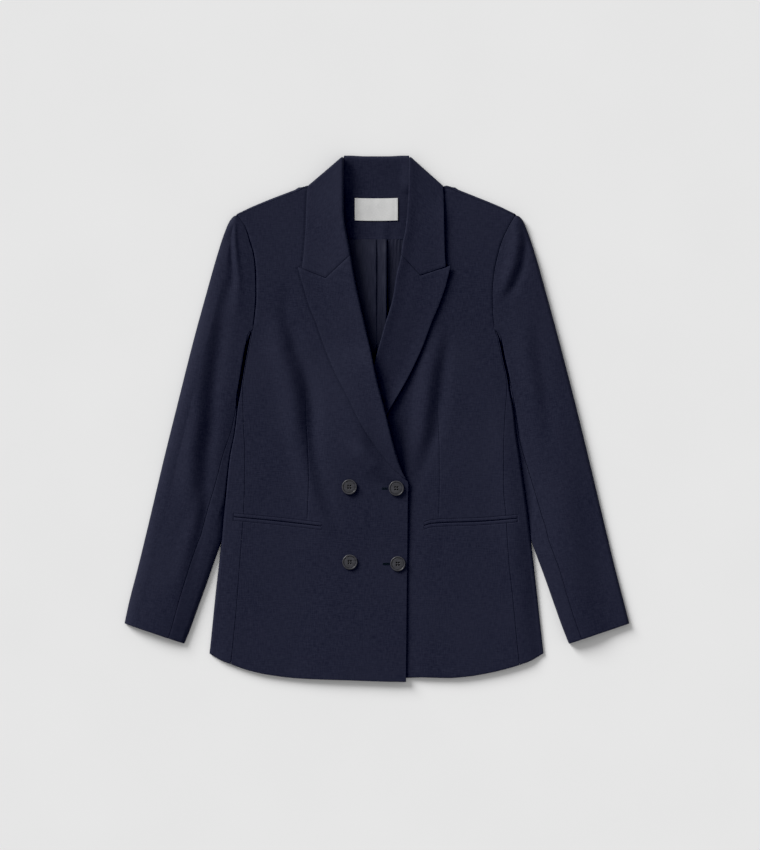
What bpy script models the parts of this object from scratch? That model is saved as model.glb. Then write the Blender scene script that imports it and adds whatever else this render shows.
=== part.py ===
"""Double breasted blazer, laid flat on its back with the front up.

Frame: metres, +Z up from the surface it lies on, +Y towards the collar and
+X towards the wearer's left sleeve. The origin lies under the middle of the
garment. Sides are named for the wearer: the right front lies over the left
one. Every table is in millimetres, with one row for each section or fold.
Each panel is a grid of points on the middle of its cloth, given its
thickness by a Solidify modifier.
"""
import math

import bmesh
import bpy
import numpy as np

MM = 0.001
SIDES = ("right", "left")

# Cloth and gaps
CLOTH = 2.0               # body, sleeve, lapel and collar wall
FACING_CLOTH = 1.5
LINING_CLOTH = 1.0
LABEL_CLOTH = 0.6
WELT_CLOTH = 1.0
SEAM = 0.5                # between the middles of two edges that are sewn together
LAYER = 0.3               # between two layers that lie on each other
UNDERSIDE = CLOTH / 2     # middle of a wall that lies on the surface
TURN = 2.7                # from the middle of a front to the middle of what is turned back on it
ROLL_RISE = 2.0           # further rise of a lapel at its roll line
ROLL_SPREAD = 10.0        # how far in from the roll line that rise fades
ROLL_STEPS = (-90, -30, 30)
ROLL_INSET = CLOTH / 2 + (TURN + ROLL_RISE) / 2   # from the roll line to the middle of its half-round

# Rows of the body, from the shoulder to the hem
BODY_ROWS = np.array((316, 303, 291, 279, 265, 244, 224, 199, 172, 146, 122, 111, 98, 77, 57, 36, 13,
                      -12, -38, -62, -79, -87, -112, -140, -170, -200, -232, -264, -295, -325))
FRONT_COLUMNS = 15
HEM_ROW = -325.0          # nominal height of the hem row
HEM_REACH = 125.0         # above the hem row, where rows start to follow the hem's curve
BACK_TOP = 318.0          # neck seam of the back and its facing
BACK_SEAM_INSET = 28.0    # back seam of the side panel, in from the side fold
BACK_HEM_RISE = 3.0       # the back hem ends this far above the front one
SHOULDER_STRIP = 8.8      # width along x of the back's edge that shows above the shoulder seam
UNDERARM = 122.0

# Collar, neck and label
COLLAR_CORNER = {"right": (-44.3, 363.4), "left": (42.6, 363.4)}
COLLAR_END = {"right": (-95.4, 320.3), "left": (90.8, 320.4)}
COLLAR_POINT_X = {"right": -103.4, "left": 94.8}
NOTCH = {"right": (-70.8, 192.9), "left": (59.6, 196.5)}
PEAK = {"right": (-109.3, 208.3), "left": (101.0, 210.2)}
GORGE_TOP = 222.0
LAPEL_FOOT = {"right": -78.0, "left": -66.0}
NECK_SEAM = 319.2         # neck seam of the collar
COLLAR_SHARES = np.array((0, 0.06, 0.2, 0.35, 0.5, 0.67, 0.83, 1.0))
FACING_FOOT = 246.5
LINING_FOOT = 40.0
LABEL_CENTRE = (-1.1, 288.0)
LABEL_SIZE = (59.0, 30.5)

# Buttons and pockets
BUTTON_CENTRES = ((-38.2, -94.7), (26.5, -96.6), (-37.5, -198.3), (28.6, -200.6))
BUTTON_RADIUS = 10.5
BUTTON_THICK = 3.2
BUTTON_DISH = 1.0
BUTTON_RIM = 2.2
HOLE_RADIUS = 0.9
HOLE_PITCH = 3.4
WELT_WIDTH = 5.4
WELT_RAISE = 0.7          # over the panel, whose facets the welt spans


def table(columns, *rows):
    """Named columns from rows, one row for each section or fold point."""
    return {name: np.array(values, dtype=float)
            for name, values in zip(columns.split(), zip(*rows))}


# x of each side's fold, where the side panel turns under
SIDE_FOLD = table(
    "y right left",
    (122, -173.8, 165.8), (113, -174.7, 167.2), (83, -180.4, 173.4), (57, -184.9, 179.4),
    (33, -189.3, 184.0), (13, -192.8, 187.7), (-22, -197.1, 191.7), (-52, -203.0, 196.5),
    (-110, -209.3, 204.6), (-171, -214.7, 212.3), (-240, -222.7, 220.5), (-325, -231.2, 229.6))

# x of the front's outer seam: shoulder, armhole, then the side panel
OUTER_SEAM = table(
    "y right left",
    (316, -100.5, 99.8), (303, -135.1, 132.7), (291, -166.0, 163.7), (279, -193.0, 190.2), (265, -182.6, 182.0), (244, -175.8, 172.3), (224, -170.2, 166.4),
    (199, -167.8, 161.3), (172, -167.3, 159.0), (146, -168.9, 159.6), (122, -171.8, 162.4), (111, -169.8, 162.2),
    (98, -172.8, 165.4), (77, -177.0, 170.2), (57, -180.4, 174.8), (36, -184.2, 178.2),
    (13, -184.7, 176.9), (-12, -184.0, 175.4), (-47, -182.3, 174.4), (-99, -182.7, 174.6),
    (-134, -184.0, 177.4), (-196, -188.8, 181.6), (-250, -193.4, 188.0), (-325, -201.6, 196.4))

# x of the roll line down to the break, then of the front edge
INNER_LINE = table(
    "y right left",
    (361, -46.0, 44.0), (319, -46.2, 43.5), (286, -46.1, 41.7), (261, -43.3, 39.2),
    (242, -39.7, 35.3), (222, -36.0, 32.4), (200, -32.3, 27.2), (164, -25.0, 21.3),
    (128, -16.7, 10.6), (94, -8.9, 1.1), (54, -0.7, -11.0), (5, 12.1, -22.0),
    (-26, 19.7, -31.0), (-62, 30.1, -39.0), (-78, 36.6, -43.0), (-90, 43.5, -45.0),
    (-113, 42.6, -45.0), (-154, 42.2, -45.0), (-325, 39.9, -45.0))

# how far short of that line the front ends: behind the collar, inside the lapel's roll, at the edge
RETREAT = table("y length", (316, 7.0), (232, 7.0), (218, 4.5), (-79, 4.5), (-87, 0.0), (-325, 0.0))

# x of the lapel's outer edge
LAPEL_EDGE = table(
    "y right left",
    (208, -109.3, 101.0), (179, -100.9, 93.5), (159, -95.1, 86.5), (130, -83.5, 74.6),
    (101, -73.6, 63.8), (61, -57.1, 45.4), (25, -38.6, 25.0), (-3, -25.0, 8.0),
    (-34, -5.8, -12.0), (-67, 19.7, -32.0), (-79, 32.3, -38.0))

# x of the collar's outer edge, below the shoulder
COLLAR_EDGE = table(
    "y right left",
    (207, -103.4, 94.8), (226, -101.2, 93.4), (265, -98.5, 92.6), (310, -96.7, 91.6), (318, -95.6, 91.0))

# y of the hem under each front
HEM = table(
    "x right left",
    (-231, -324.6, -357.0), (-217, -333.0, -357.0), (-203, -338.7, -357.0), (-175, -348.3, -357.0),
    (-148, -354.1, -357.0), (-106, -358.9, -357.0), (-51, -361.0, -357.0), (40, -363.5, -357.0),
    (100, -363.0, -358.2), (128, -356.0, -355.8), (156, -350.9, -350.9), (183, -344.3, -344.3),
    (211, -334.8, -334.8), (230, -324.0, -324.0))

# x of the sleeve's outer and inner folds, by each fold's own y
SLEEVE_OUTER = table(
    "y right left",
    (281, -194.7, 192.8), (273, -202.5, 200.6), (257, -209.9, 207.6), (224, -220.7, 218.7),
    (174, -234.9, 232.8), (108, -253.0, 250.7), (25, -273.9, 272.3), (-58, -294.5, 292.6),
    (-141, -314.1, 312.4), (-207, -330.1, 328.3), (-257, -342.9, 341.3), (-283, -348.4, 348.0))
SLEEVE_INNER = table(
    "y right left",
    (111, -176.6, 169.2), (98, -179.6, 172.0), (83, -182.6, 175.6), (57, -187.2, 181.6),
    (29, -192.2, 187.0), (-22, -199.0, 193.6), (-52, -204.6, 198.6), (-110, -211.2, 207.0),
    (-145, -214.5, 212.2), (-171, -217.2, 218.0), (-190, -222.5, 226.0), (-223, -233.8, 237.4),
    (-257, -245.9, 248.6), (-290, -257.5, 259.8), (-311, -265.8, 266.4))

# rows of the lower sleeve: y at the outer fold, drop to the inner fold, and the forearm
# and elbow seams' distances in from the inner and outer folds
SLEEVE_ROWS = table(
    "y drop forearm elbow",
    (111, 0, 4, 46), (92, 0, 4, 44), (70, 0, 4, 42), (36, 0, 4, 40), (8, 1, 5, 38), (-22, 2, 7, 36), (-52, 3, 11, 34),
    (-82, 4, 15, 32), (-112, 6, 20, 30), (-142, 9, 25, 29), (-172, 13, 27, 28), (-202, 18, 25, 27),
    (-230, 22, 24, 26), (-257, 25, 22, 25), (-283, 28, 20, 24))

# middle of the front's cloth above the surface, where only the back lies under it
BODY_LEVEL = table("y z", (316, 6.8), (200, 7.0), (100, 6.6), (-200, 6.0), (-325, 4.6))
# rise of the right front over the left one, and of each front towards its roll line
OVERLAP = table("y z", (316, 0), (112, 0), (72, 4.2), (-70, 4.8), (-95, 3.6), (-125, 2.2), (-200, 1.9), (-325, 1.9))
OVERLAP_RAMP = 32.0
UNDERLAP_DROP = 1.2
ROLL_LIFT = table(
    "y right left",
    (361, 1.0, 1.0), (316, 1.0, 1.0), (245, 2.5, 2.0), (165, 4.5, 3.0), (85, 5.5, 2.5),
    (40, 5.2, 0.0), (15, 5.0, 0.0), (-60, 2.2, 0.0), (-90, 0.0, 0.0), (-325, 0.0, 0.0))
LIFT_SPREAD = 45.0

# Soft troughs (depth above zero) and ridges (below zero): points along each, mm
FRONT_CREASES = {
    "right": (
        table("x y depth width", (-127, 118, 0.4, 16), (-117, 75, 1.6, 15), (-106, 28, 2.0, 12),
              (-99, -10, 1.2, 9), (-95, -120, 0.2, 9)),
        table("x y depth width", (-88, 30, 0.3, 11), (-84, -20, 1.5, 11), (-78, -85, 1.5, 10),
              (-60, -135, 0.3, 10)),
        table("x y depth width", (-18, -30, 0.3, 12), (-2, -55, 1.0, 10), (12, -80, 0.2, 10))),
    "left": (
        table("x y depth width", (93, 122, 0.4, 14), (84, 66, 1.7, 13), (74, 15, 1.9, 12),
              (63, -38, 1.6, 12), (50, -112, 0.2, 12)),
        table("x y depth width", (92, 10, 0.2, 9), (86, -60, 0.8, 9), (85, -128, 0.1, 9)))}
SLEEVE_CREASES = {
    "right": (
        table("x y depth width", (-217, 192, 0.3, 10), (-226, 142, 1.4, 12), (-231, 75, 1.8, 12),
              (-237, 10, 1.6, 12), (-242, -94, 0.2, 12)),
        table("x y depth width", (-198, 262, -1.2, 7), (-193, 200, -0.6, 8), (-202, 120, -0.8, 9),
              (-208, 50, -0.2, 9))),
    "left": (
        table("x y depth width", (199, 262, 0.8, 8), (197, 225, 1.3, 8), (186, 185, 1.2, 8), (172, 160, 0.2, 8)),
        table("x y depth width", (212, 155, 0.3, 12), (216, 75, 1.2, 12), (214, 0, 0.8, 12),
              (222, -80, 0.1, 12)))}
SLEEVE_LEVEL = 6.6
SLEEVE_CROWN = 1.0

POCKETS = {
    "right": table("x y", (-197.5, -136.3), (-140.0, -141.8), (-76.5, -149.0)),
    "left": table("x y", (65.0, -147.8), (88.0, -144.6), (140.0, -142.6), (192.5, -138.3))}

LINING_PLEAT = table("x z", (-60, 0), (-12, 0), (-3, 0.2), (-1, 0), (1, 1.6), (11, 1.5), (14, 0.3), (24, 0.2),
                     (27, 0.7), (34, 0.2), (58, 0))

NAVY = (0.018, 0.019, 0.034, 1.0)
LINING_NAVY = (0.012, 0.013, 0.022, 1.0)
SATIN_WHITE = (0.50, 0.51, 0.53, 1.0)
HORN_GREY = (0.035, 0.035, 0.042, 1.0)


# ---------------------------------------------------------------- numbers
def along(rows, column, key, at):
    """The column's value at a key, straight from row to row."""
    order = np.argsort(rows[key])
    return np.interp(at, rows[key][order], rows[column][order])


def soft_step(value):
    """Smooth rise from 0 to 1."""
    t = np.clip(value, 0.0, 1.0)
    return t * t * (3.0 - 2.0 * t)


def on_rows(rows, column, at):
    """A line sampled at the body's rows, so that every piece meets it on the same straight stretches."""
    samples = along(rows, column, "y", BODY_ROWS)
    return np.interp(at, BODY_ROWS[::-1], samples[::-1])


def relief(x, y, creases):
    """Height of the soft troughs and ridges at x, y."""
    total = np.zeros(np.broadcast(x, y).shape)
    for crease in creases:
        nearest = np.full(total.shape, np.inf)
        height = np.zeros(total.shape)
        points = np.stack([crease[name] for name in ("x", "y", "depth", "width")], axis=1)
        for start, end in zip(points[:-1], points[1:]):
            run_x, run_y = end[:2] - start[:2]
            t = np.clip(((x - start[0]) * run_x + (y - start[1]) * run_y) / (run_x ** 2 + run_y ** 2), 0, 1)
            distance = np.hypot(x - start[0] - t * run_x, y - start[1] - t * run_y)
            depth = start[2] + t * (end[2] - start[2])
            width = start[3] + t * (end[3] - start[3])
            closer = distance < nearest
            height = np.where(closer, -depth * np.exp(-(distance / width) ** 2), height)
            nearest = np.minimum(nearest, distance)
        total += height
    return total


# ---------------------------------------------------------------- the body's form
def outward(side):
    """Sign of x towards that side's sleeve."""
    return -1.0 if side == "right" else 1.0


def hang(side, x, y):
    """Real y of a nominal row, which bends to the hem's curve near the hem."""
    share = soft_step((HEM_ROW + HEM_REACH - y) / HEM_REACH)
    return y + share * (along(HEM, side, "x", x) - HEM_ROW)


def body_height(side, x, y):
    """Middle of the front's cloth above the surface."""
    height = along(BODY_LEVEL, "z", "y", y) + relief(x, y, FRONT_CREASES[side])
    lift = along(ROLL_LIFT, side, "y", y)
    distance = np.abs(x - along(INNER_LINE, side, "y", y))
    height = height + lift * np.exp(-(distance / LIFT_SPREAD) ** 2)
    if side == "right":
        ramp = (x - along(INNER_LINE, "left", "y", y) + OVERLAP_RAMP + 2) / OVERLAP_RAMP
        return height + along(OVERLAP, "z", "y", y) * soft_step(ramp)
    return height - UNDERLAP_DROP * (1 - soft_step((x - 40) / 30)) * soft_step((100 - y) / 40)


def turned_height(side, x, y):
    """Middle of the cloth that is turned back on a front: its lapel or its collar leg."""
    distance = np.abs(x - along(INNER_LINE, side, "y", y))
    rise = ROLL_RISE * (1.0 if side == "right" else soft_step((y - 50) / 50))
    return body_height(side, x, y) + TURN + rise * np.exp(-(distance / ROLL_SPREAD) ** 2)


def gorge_y(side, x):
    """y of the line where collar and lapel meet: the gorge seam, the notch and on to the peak."""
    sign = outward(side)
    gorge_x = on_rows(INNER_LINE, side, GORGE_TOP) + sign * ROLL_INSET
    below = sign * x < sign * NOTCH[side][0]
    end_x = np.where(below, gorge_x, PEAK[side][0])
    end_y = np.where(below, GORGE_TOP, PEAK[side][1])
    share = (x - NOTCH[side][0]) / (end_x - NOTCH[side][0])
    return NOTCH[side][1] + share * (end_y - NOTCH[side][1])


# ---------------------------------------------------------------- objects
def material(name, color, roughness):
    """One Principled material."""
    finish = bpy.data.materials.new(name)
    finish.use_nodes = True
    shader = finish.node_tree.nodes["Principled BSDF"]
    shader.inputs["Base Color"].default_value = color
    shader.inputs["Roughness"].default_value = roughness
    shader.inputs["Metallic"].default_value = 0.0
    return finish


def add_object(name, mesh, finish):
    """Link a mesh as one smooth-shaded sub-part."""
    mesh.materials.clear()
    mesh.materials.append(material(name + "_cloth", *finish))
    piece = bpy.data.objects.new(name, mesh)
    bpy.data.collections["double_breasted_blazer"].objects.link(piece)
    mesh.shade_smooth()
    mesh.set_sharp_from_angle(angle=math.radians(40))
    return piece


def sheet(name, points, thickness, finish=(NAVY, 0.8)):
    """Cloth wall round a grid of middle points (rows, columns, xyz in mm)."""
    rows, columns, _ = points.shape
    index = np.arange(rows * columns).reshape(rows, columns)
    corners = (index[:-1, :-1], index[1:, :-1], index[1:, 1:], index[:-1, 1:])
    faces = np.stack([corner.ravel() for corner in corners], axis=1)
    mesh = bpy.data.meshes.new(name)
    mesh.from_pydata((points.reshape(-1, 3) * MM).tolist(), [], faces.tolist())
    piece = add_object(name, mesh, finish)
    wall = piece.modifiers.new("wall", "SOLIDIFY")
    wall.thickness = thickness * MM
    wall.offset = 0.0
    return piece


def grid(x, y, z):
    """Stack three arrays that share rows and columns."""
    return np.stack(np.broadcast_arrays(x, y, z), axis=2).astype(float)


# ---------------------------------------------------------------- panels of the body
def make_front(side):
    """Front panel from its outer seam to its roll line and front edge."""
    y = BODY_ROWS[:, None].astype(float)
    gap = outward(side) * SEAM / 2
    outer = on_rows(OUTER_SEAM, side, y) - gap
    inner = on_rows(INNER_LINE, side, y) + outward(side) * along(RETREAT, "length", "y", y)
    share = np.linspace(0, 1, FRONT_COLUMNS)[None, :]
    x = outer + (inner - outer) * share
    sheet("front_" + side, grid(x, hang(side, x, y), body_height(side, x, y)), CLOTH)


def back_edge(side):
    """x of the back's edge: shoulder line, armhole, then the side panel's back seam."""
    strip = SHOULDER_STRIP * soft_step((BODY_ROWS - 279) / 12.0)
    shoulder = along(OUTER_SEAM, side, "y", BODY_ROWS) + outward(side) * strip
    seam = along(SIDE_FOLD, side, "y", BODY_ROWS) - outward(side) * BACK_SEAM_INSET
    return np.where(BODY_ROWS >= UNDERARM, shoulder, seam)


def make_back():
    """Back panel, flat on the surface, its shoulder edges turned up."""
    y = BODY_ROWS[:, None].astype(float)
    y = np.where(y == BODY_ROWS[0], BACK_TOP, y)
    right = back_edge("right")[:, None] + SEAM / 2
    left = back_edge("left")[:, None] - SEAM / 2
    strip = 0.6 * SHOULDER_STRIP / (left - right)
    inner = np.linspace(0, 1, 7)[None, 1:-1]
    share = np.concatenate([0 * strip, strip, np.broadcast_to(inner, (len(y), 5)), 1 - strip, 1 + 0 * strip], axis=1)
    x = right + (left - right) * share
    rim = np.zeros(share.shape)
    rim[:, (0, -1)] = 3.2 * soft_step((y - 279) / 8.0)
    hem = np.minimum(along(HEM, "right", "x", -np.abs(x)), HEM_ROW) + BACK_HEM_RISE
    sag = soft_step((HEM_ROW + HEM_REACH - y) / HEM_REACH)
    sheet("back", grid(x, y + sag * (hem - HEM_ROW), UNDERSIDE + rim), CLOTH)


def make_side_panel(side):
    """Panel that runs from the back seam beneath, round the side fold, to the front seam."""
    y = BODY_ROWS[BODY_ROWS < UNDERARM].astype(float)
    sign = outward(side)
    fold = on_rows(SIDE_FOLD, side, y)
    back_seam = np.interp(y, BODY_ROWS[::-1], back_edge(side)[::-1]) + sign * SEAM / 2
    front_seam = on_rows(OUTER_SEAM, side, y) + sign * SEAM / 2
    top = body_height(side, fold - sign * 5, y)
    radius = (top - UNDERSIDE) / 2
    centre = fold - sign * (CLOTH / 2 + radius)
    columns = [(back_seam, 0 * y + UNDERSIDE), ((back_seam + centre) / 2, 0 * y + UNDERSIDE)]
    for angle in (-90, -45, 0, 45):
        turn = math.radians(angle)
        columns.append((centre + sign * radius * math.cos(turn), UNDERSIDE + radius * (1 + math.sin(turn))))
    for share in (0.0, 0.5, 1.0):
        x = centre + (front_seam - centre) * share
        columns.append((x, body_height(side, x, y)))
    x = np.stack([column[0] for column in columns], axis=1)
    z = np.stack([column[1] for column in columns], axis=1)
    points = grid(x, hang(side, x, y[:, None]), z)
    sheet("side_panel_" + side, points, CLOTH)


# ---------------------------------------------------------------- sleeves
def sleeve_sections(side):
    """Outer and inner plan points of each sleeve row, with its seams and whether it is in the head."""
    sign = outward(side)
    head_y = np.concatenate([[276.0], BODY_ROWS[(BODY_ROWS < 270) & (BODY_ROWS >= UNDERARM)]])
    head_inner = on_rows(OUTER_SEAM, side, head_y) + sign * SEAM / 2
    head_outer = along(SLEEVE_OUTER, side, "y", head_y)
    low_y = SLEEVE_ROWS["y"]
    inner_y = low_y - SLEEVE_ROWS["drop"]
    outer = np.concatenate([np.stack([head_outer, head_y], 1),
                            np.stack([along(SLEEVE_OUTER, side, "y", low_y), low_y], 1)])
    inner = np.concatenate([np.stack([head_inner, head_y], 1),
                            np.stack([along(SLEEVE_INNER, side, "y", inner_y), inner_y], 1)])
    head = np.arange(len(outer)) < len(head_y)
    pad = np.zeros(len(head_y))
    forearm = np.concatenate([pad, SLEEVE_ROWS["forearm"]])
    elbow = np.concatenate([pad, SLEEVE_ROWS["elbow"]])
    return outer, inner, forearm, elbow, head


def sleeve_height(side, x, y, share):
    """Middle of the upper layer's cloth: level, crown and creases."""
    crown = SLEEVE_CROWN * np.sin(np.pi * np.clip(share, 0, 1))
    return SLEEVE_LEVEL + crown + relief(x, y, SLEEVE_CREASES[side])


def sleeve_row(side, outer, inner, stations):
    """Points of one row from (distance in from the inner fold, height or None for the upper layer)."""
    run = outer - inner
    length = math.hypot(*run)
    points = []
    for distance, height in stations:
        share = distance / length
        x, y = inner + run * share
        z = float(sleeve_height(side, x, y, share)) if height is None else height
        points.append((x, y, z))
    return points


def fold_stations(length, side_of_fold):
    """Half-round stations of the outer or inner fold, from the upper layer to the lower one."""
    radius = (SLEEVE_LEVEL - UNDERSIDE) / 2
    centre = CLOTH / 2 + radius
    stations = []
    for angle in (60, 0, -60):
        reach = radius * math.cos(math.radians(angle))
        distance = length - centre + reach if side_of_fold == "outer" else centre - reach
        stations.append((distance, UNDERSIDE + radius * (1 + math.sin(math.radians(angle)))))
    return stations


def make_sleeve(side):
    """Top and under sleeve: one flattened tube, parted at the forearm and elbow seams."""
    outer, inner, forearm, elbow, head = sleeve_sections(side)
    radius = (SLEEVE_LEVEL - UNDERSIDE) / 2
    edge = CLOTH / 2 + radius
    top_rows = []
    under_rows = []
    for row in range(len(outer)):
        length = math.hypot(*(outer[row] - inner[row]))
        near = 0.0 if head[row] else max(forearm[row], edge + 1) + SEAM / 2
        far = max(length - edge, near + 1.5)
        back = 0.0 if head[row] else length - elbow[row] + SEAM / 2
        stations = [(near + (far - near) * share, None) for share in np.linspace(0, 1, 8)]
        if length < 2 * edge:
            stations += [(far + 0.6, 5.0), (far + 1.0, 3.8), (far + 0.6, 2.4)]
        else:
            stations += fold_stations(length, "outer")
        stations += [(far + (back - far) * share, UNDERSIDE) for share in (0, 0.33, 0.67, 1)]
        top_rows.append(sleeve_row(side, outer[row], inner[row], stations))
        if not head[row]:
            stop = max(forearm[row], edge + 1) - SEAM / 2
            lower = length - elbow[row] - SEAM / 2
            stations = [(lower + (edge - lower) * share, UNDERSIDE) for share in (0, 0.5, 1)]
            stations += fold_stations(length, "inner")[::-1]
            stations += [(edge, None), (stop, None)]
            under_rows.append(sleeve_row(side, outer[row], inner[row], stations))
    sheet("top_sleeve_" + side, np.array(top_rows), CLOTH)
    sheet("under_sleeve_" + side, np.array(under_rows), CLOTH)


# ---------------------------------------------------------------- lapels and collar
def turned_rows(side, inner, outer, shares, fade_length):
    """Straight rows from inner to outer points, the first one bent to the gorge and notch."""
    t = np.linspace(0, 1, len(inner))[:, None]
    x = inner[:, :1] + (outer[:, :1] - inner[:, :1]) * shares
    y = inner[:, 1:] + (outer[:, 1:] - inner[:, 1:]) * shares
    bend = gorge_y(side, x[:1]) - y[:1]
    return x, y + bend * np.clip(1 - t / fade_length, 0, 1)


def notch_shares(side, inner_x, outer_x, edge_share):
    """Column shares across a row, one of them at the notch."""
    notch = (NOTCH[side][0] - inner_x) / (outer_x - inner_x)
    thirds = np.array((1, 2, 3)) / 3
    return np.concatenate([edge_share, notch * thirds, notch + (1 - notch) * thirds])[None, :]


def make_lapel(side):
    """Peak lapel: its roll from under the front's edge, then the part that is turned back."""
    sign = outward(side)
    t = np.linspace(0, 1, 15)[:, None]
    foot = LAPEL_FOOT[side]
    roll_y = GORGE_TOP + (foot - GORGE_TOP) * t
    edge_y = PEAK[side][1] + (foot + 5 - PEAK[side][1]) * t
    start_x = on_rows(INNER_LINE, side, roll_y) + sign * ROLL_INSET
    edge_x = along(LAPEL_EDGE, side, "y", edge_y)
    shares = notch_shares(side, start_x[0, 0], edge_x[0, 0], (0.0,))
    x, y = turned_rows(side, np.hstack([start_x, roll_y]), np.hstack([edge_x, edge_y]), shares, 0.3)
    y = y - SEAM / 2 * (t == 0)
    z = turned_height(side, x, y)
    low = body_height(side, start_x, roll_y)
    radius = (z[:, :1] - low) / 2
    turns = np.radians(np.array(ROLL_STEPS, dtype=float))[None, :]
    lip_x = start_x - sign * radius * np.cos(turns)
    lip_z = low + radius * (1 + np.sin(turns))
    lip_y = y[:, :1] + 0 * lip_x
    points = grid(np.hstack([lip_x, x]), np.hstack([lip_y, y]), np.hstack([lip_z, z]))
    sheet("lapel_" + side, points, CLOTH)


def collar_leg(side):
    """Rows of one collar leg from the gorge to the shoulder fold, on the front."""
    sign = outward(side)
    t = np.linspace(0, 1, 9)[:, None]
    start_x = along(INNER_LINE, side, "y", GORGE_TOP) + sign * CLOTH / 2
    start_y = float(gorge_y(side, start_x))
    roll_y = start_y + (356.0 - start_y) * t
    point_y = float(gorge_y(side, COLLAR_POINT_X[side]))
    edge_y = point_y + (317.5 - point_y) * t
    roll_x = along(INNER_LINE, side, "y", roll_y) + sign * CLOTH / 2
    edge_x = along(COLLAR_EDGE, side, "y", edge_y)
    edge_x[0] = COLLAR_POINT_X[side]
    shares = notch_shares(side, roll_x[0, 0], edge_x[0, 0], (0.0, 0.06))
    x, y = turned_rows(side, np.hstack([roll_x, roll_y]), np.hstack([edge_x, edge_y]), shares, 0.5)
    y = y + SEAM / 2 * (t == 0)
    z = turned_height(side, x, np.minimum(y, 316.0))
    z[:, 0] -= 0.9
    return grid(x, y, z)


def collar_fold(side):
    """Rows that take the collar over the shoulder edge and on to the surface."""
    corner = np.array(COLLAR_CORNER[side])
    end = np.array(COLLAR_END[side])
    sign = outward(side)
    rows = []
    for inset, height in ((1.0, 7.0), (1.0, 3.0), (3.2, UNDERSIDE)):
        shift = np.array((-sign * 0.629, -0.777)) * inset
        line = corner + shift + (end - corner) * COLLAR_SHARES[:, None]
        line[:, 1] = np.maximum(line[:, 1], NECK_SEAM)
        rows.append(np.column_stack([line, np.full(len(line), height)]))
    inner = np.array((sign * 41.0, 354.3))
    outer = np.array((sign * 78.0, NECK_SEAM))
    line = inner + (outer - inner) * COLLAR_SHARES[:, None]
    rows.append(np.column_stack([line, np.full(len(line), UNDERSIDE)]))
    return np.array(rows)


def make_collar_fall():
    """Collar fall: right leg, over the shoulder edge, flat behind the neck, and up to the left leg."""
    behind = []
    for inner_x, outer_x in ((-22, -46), (0, 0), (22, 46)):
        line = np.array((inner_x, 354.3)) + np.array((outer_x - inner_x, NECK_SEAM - 354.3)) * COLLAR_SHARES[:, None]
        behind.append(np.column_stack([line, np.full(len(line), UNDERSIDE)]))
    rows = [collar_leg("right"), collar_fold("right"), np.array(behind),
            collar_fold("left")[::-1], collar_leg("left")[::-1]]
    sheet("collar_fall", np.concatenate(rows), CLOTH)


def make_collar_stand():
    """Inside of the stand, from the neck seam up, over the top edge and down to the fall."""
    section = table(
        "y z half_width",
        (NECK_SEAM, 3.6, 53), (328, 3.7, 53), (338, 4.2, 52), (347, 5.0, 46), (353.5, 5.6, 40.8),
        (358.5, 5.7, 40.8), (360.3, 4.7, 40.8), (360.7, 3.4, 40.8), (360.3, 2.1, 40.5), (358.5, 1.0, 39.5),
        (355.0, 1.0, 39.0))
    share = np.linspace(-1, 1, 9)[None, :]
    x = section["half_width"][:, None] * share - 0.8
    sheet("collar_stand", grid(x, section["y"][:, None], section["z"][:, None]), CLOTH)


def make_neck_facing():
    """Back neck facing, on the back."""
    y = np.linspace(BACK_TOP, FACING_FOOT, 6)[:, None]
    x = np.linspace(-72, 70, 8)[None, :]
    z = CLOTH + LAYER + FACING_CLOTH / 2
    sheet("neck_facing", grid(x, y, z), FACING_CLOTH)


def make_lining():
    """Back lining with its centre pleat, from the facing down to where the fronts cover it."""
    y = np.array((FACING_FOOT - SEAM, 236, 215, 185, 150, 115, 80, LINING_FOOT))[:, None]
    x = LINING_PLEAT["x"][None, :]
    fullness = np.interp(y, (LINING_FOOT, 100, FACING_FOOT), (0.6, 1.0, 0.8))
    z = CLOTH + LAYER + LINING_CLOTH / 2 + LINING_PLEAT["z"][None, :] * fullness
    sheet("back_lining", grid(x, y, z), LINING_CLOTH, (LINING_NAVY, 0.5))


def make_label():
    """Bare woven label on the facing."""
    x = LABEL_CENTRE[0] + np.array((-0.5, 0.5))[None, :] * LABEL_SIZE[0]
    y = LABEL_CENTRE[1] + np.array((0.5, -0.5))[:, None] * LABEL_SIZE[1]
    z = CLOTH + LAYER + FACING_CLOTH + LAYER + LABEL_CLOTH / 2
    sheet("label", grid(x, y, z), LABEL_CLOTH, (SATIN_WHITE, 0.5))


# ---------------------------------------------------------------- pockets and buttons
def make_welts(side):
    """The two narrow welts of a pocket, above and below its mouth."""
    mouth = POCKETS[side]
    x = np.linspace(mouth["x"][0], mouth["x"][-1], 9)[None, :]
    line = along(mouth, "y", "x", x)
    for name, rows in (("upper", (WELT_WIDTH, SEAM / 2)), ("lower", (-SEAM / 2, -WELT_WIDTH))):
        y = line + np.array(rows)[:, None]
        z = body_height(side, x, y) + (CLOTH + WELT_CLOTH) / 2 + WELT_RAISE
        sheet("welt_%s_%s" % (name, side), grid(x, y, z), WELT_CLOTH)


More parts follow.
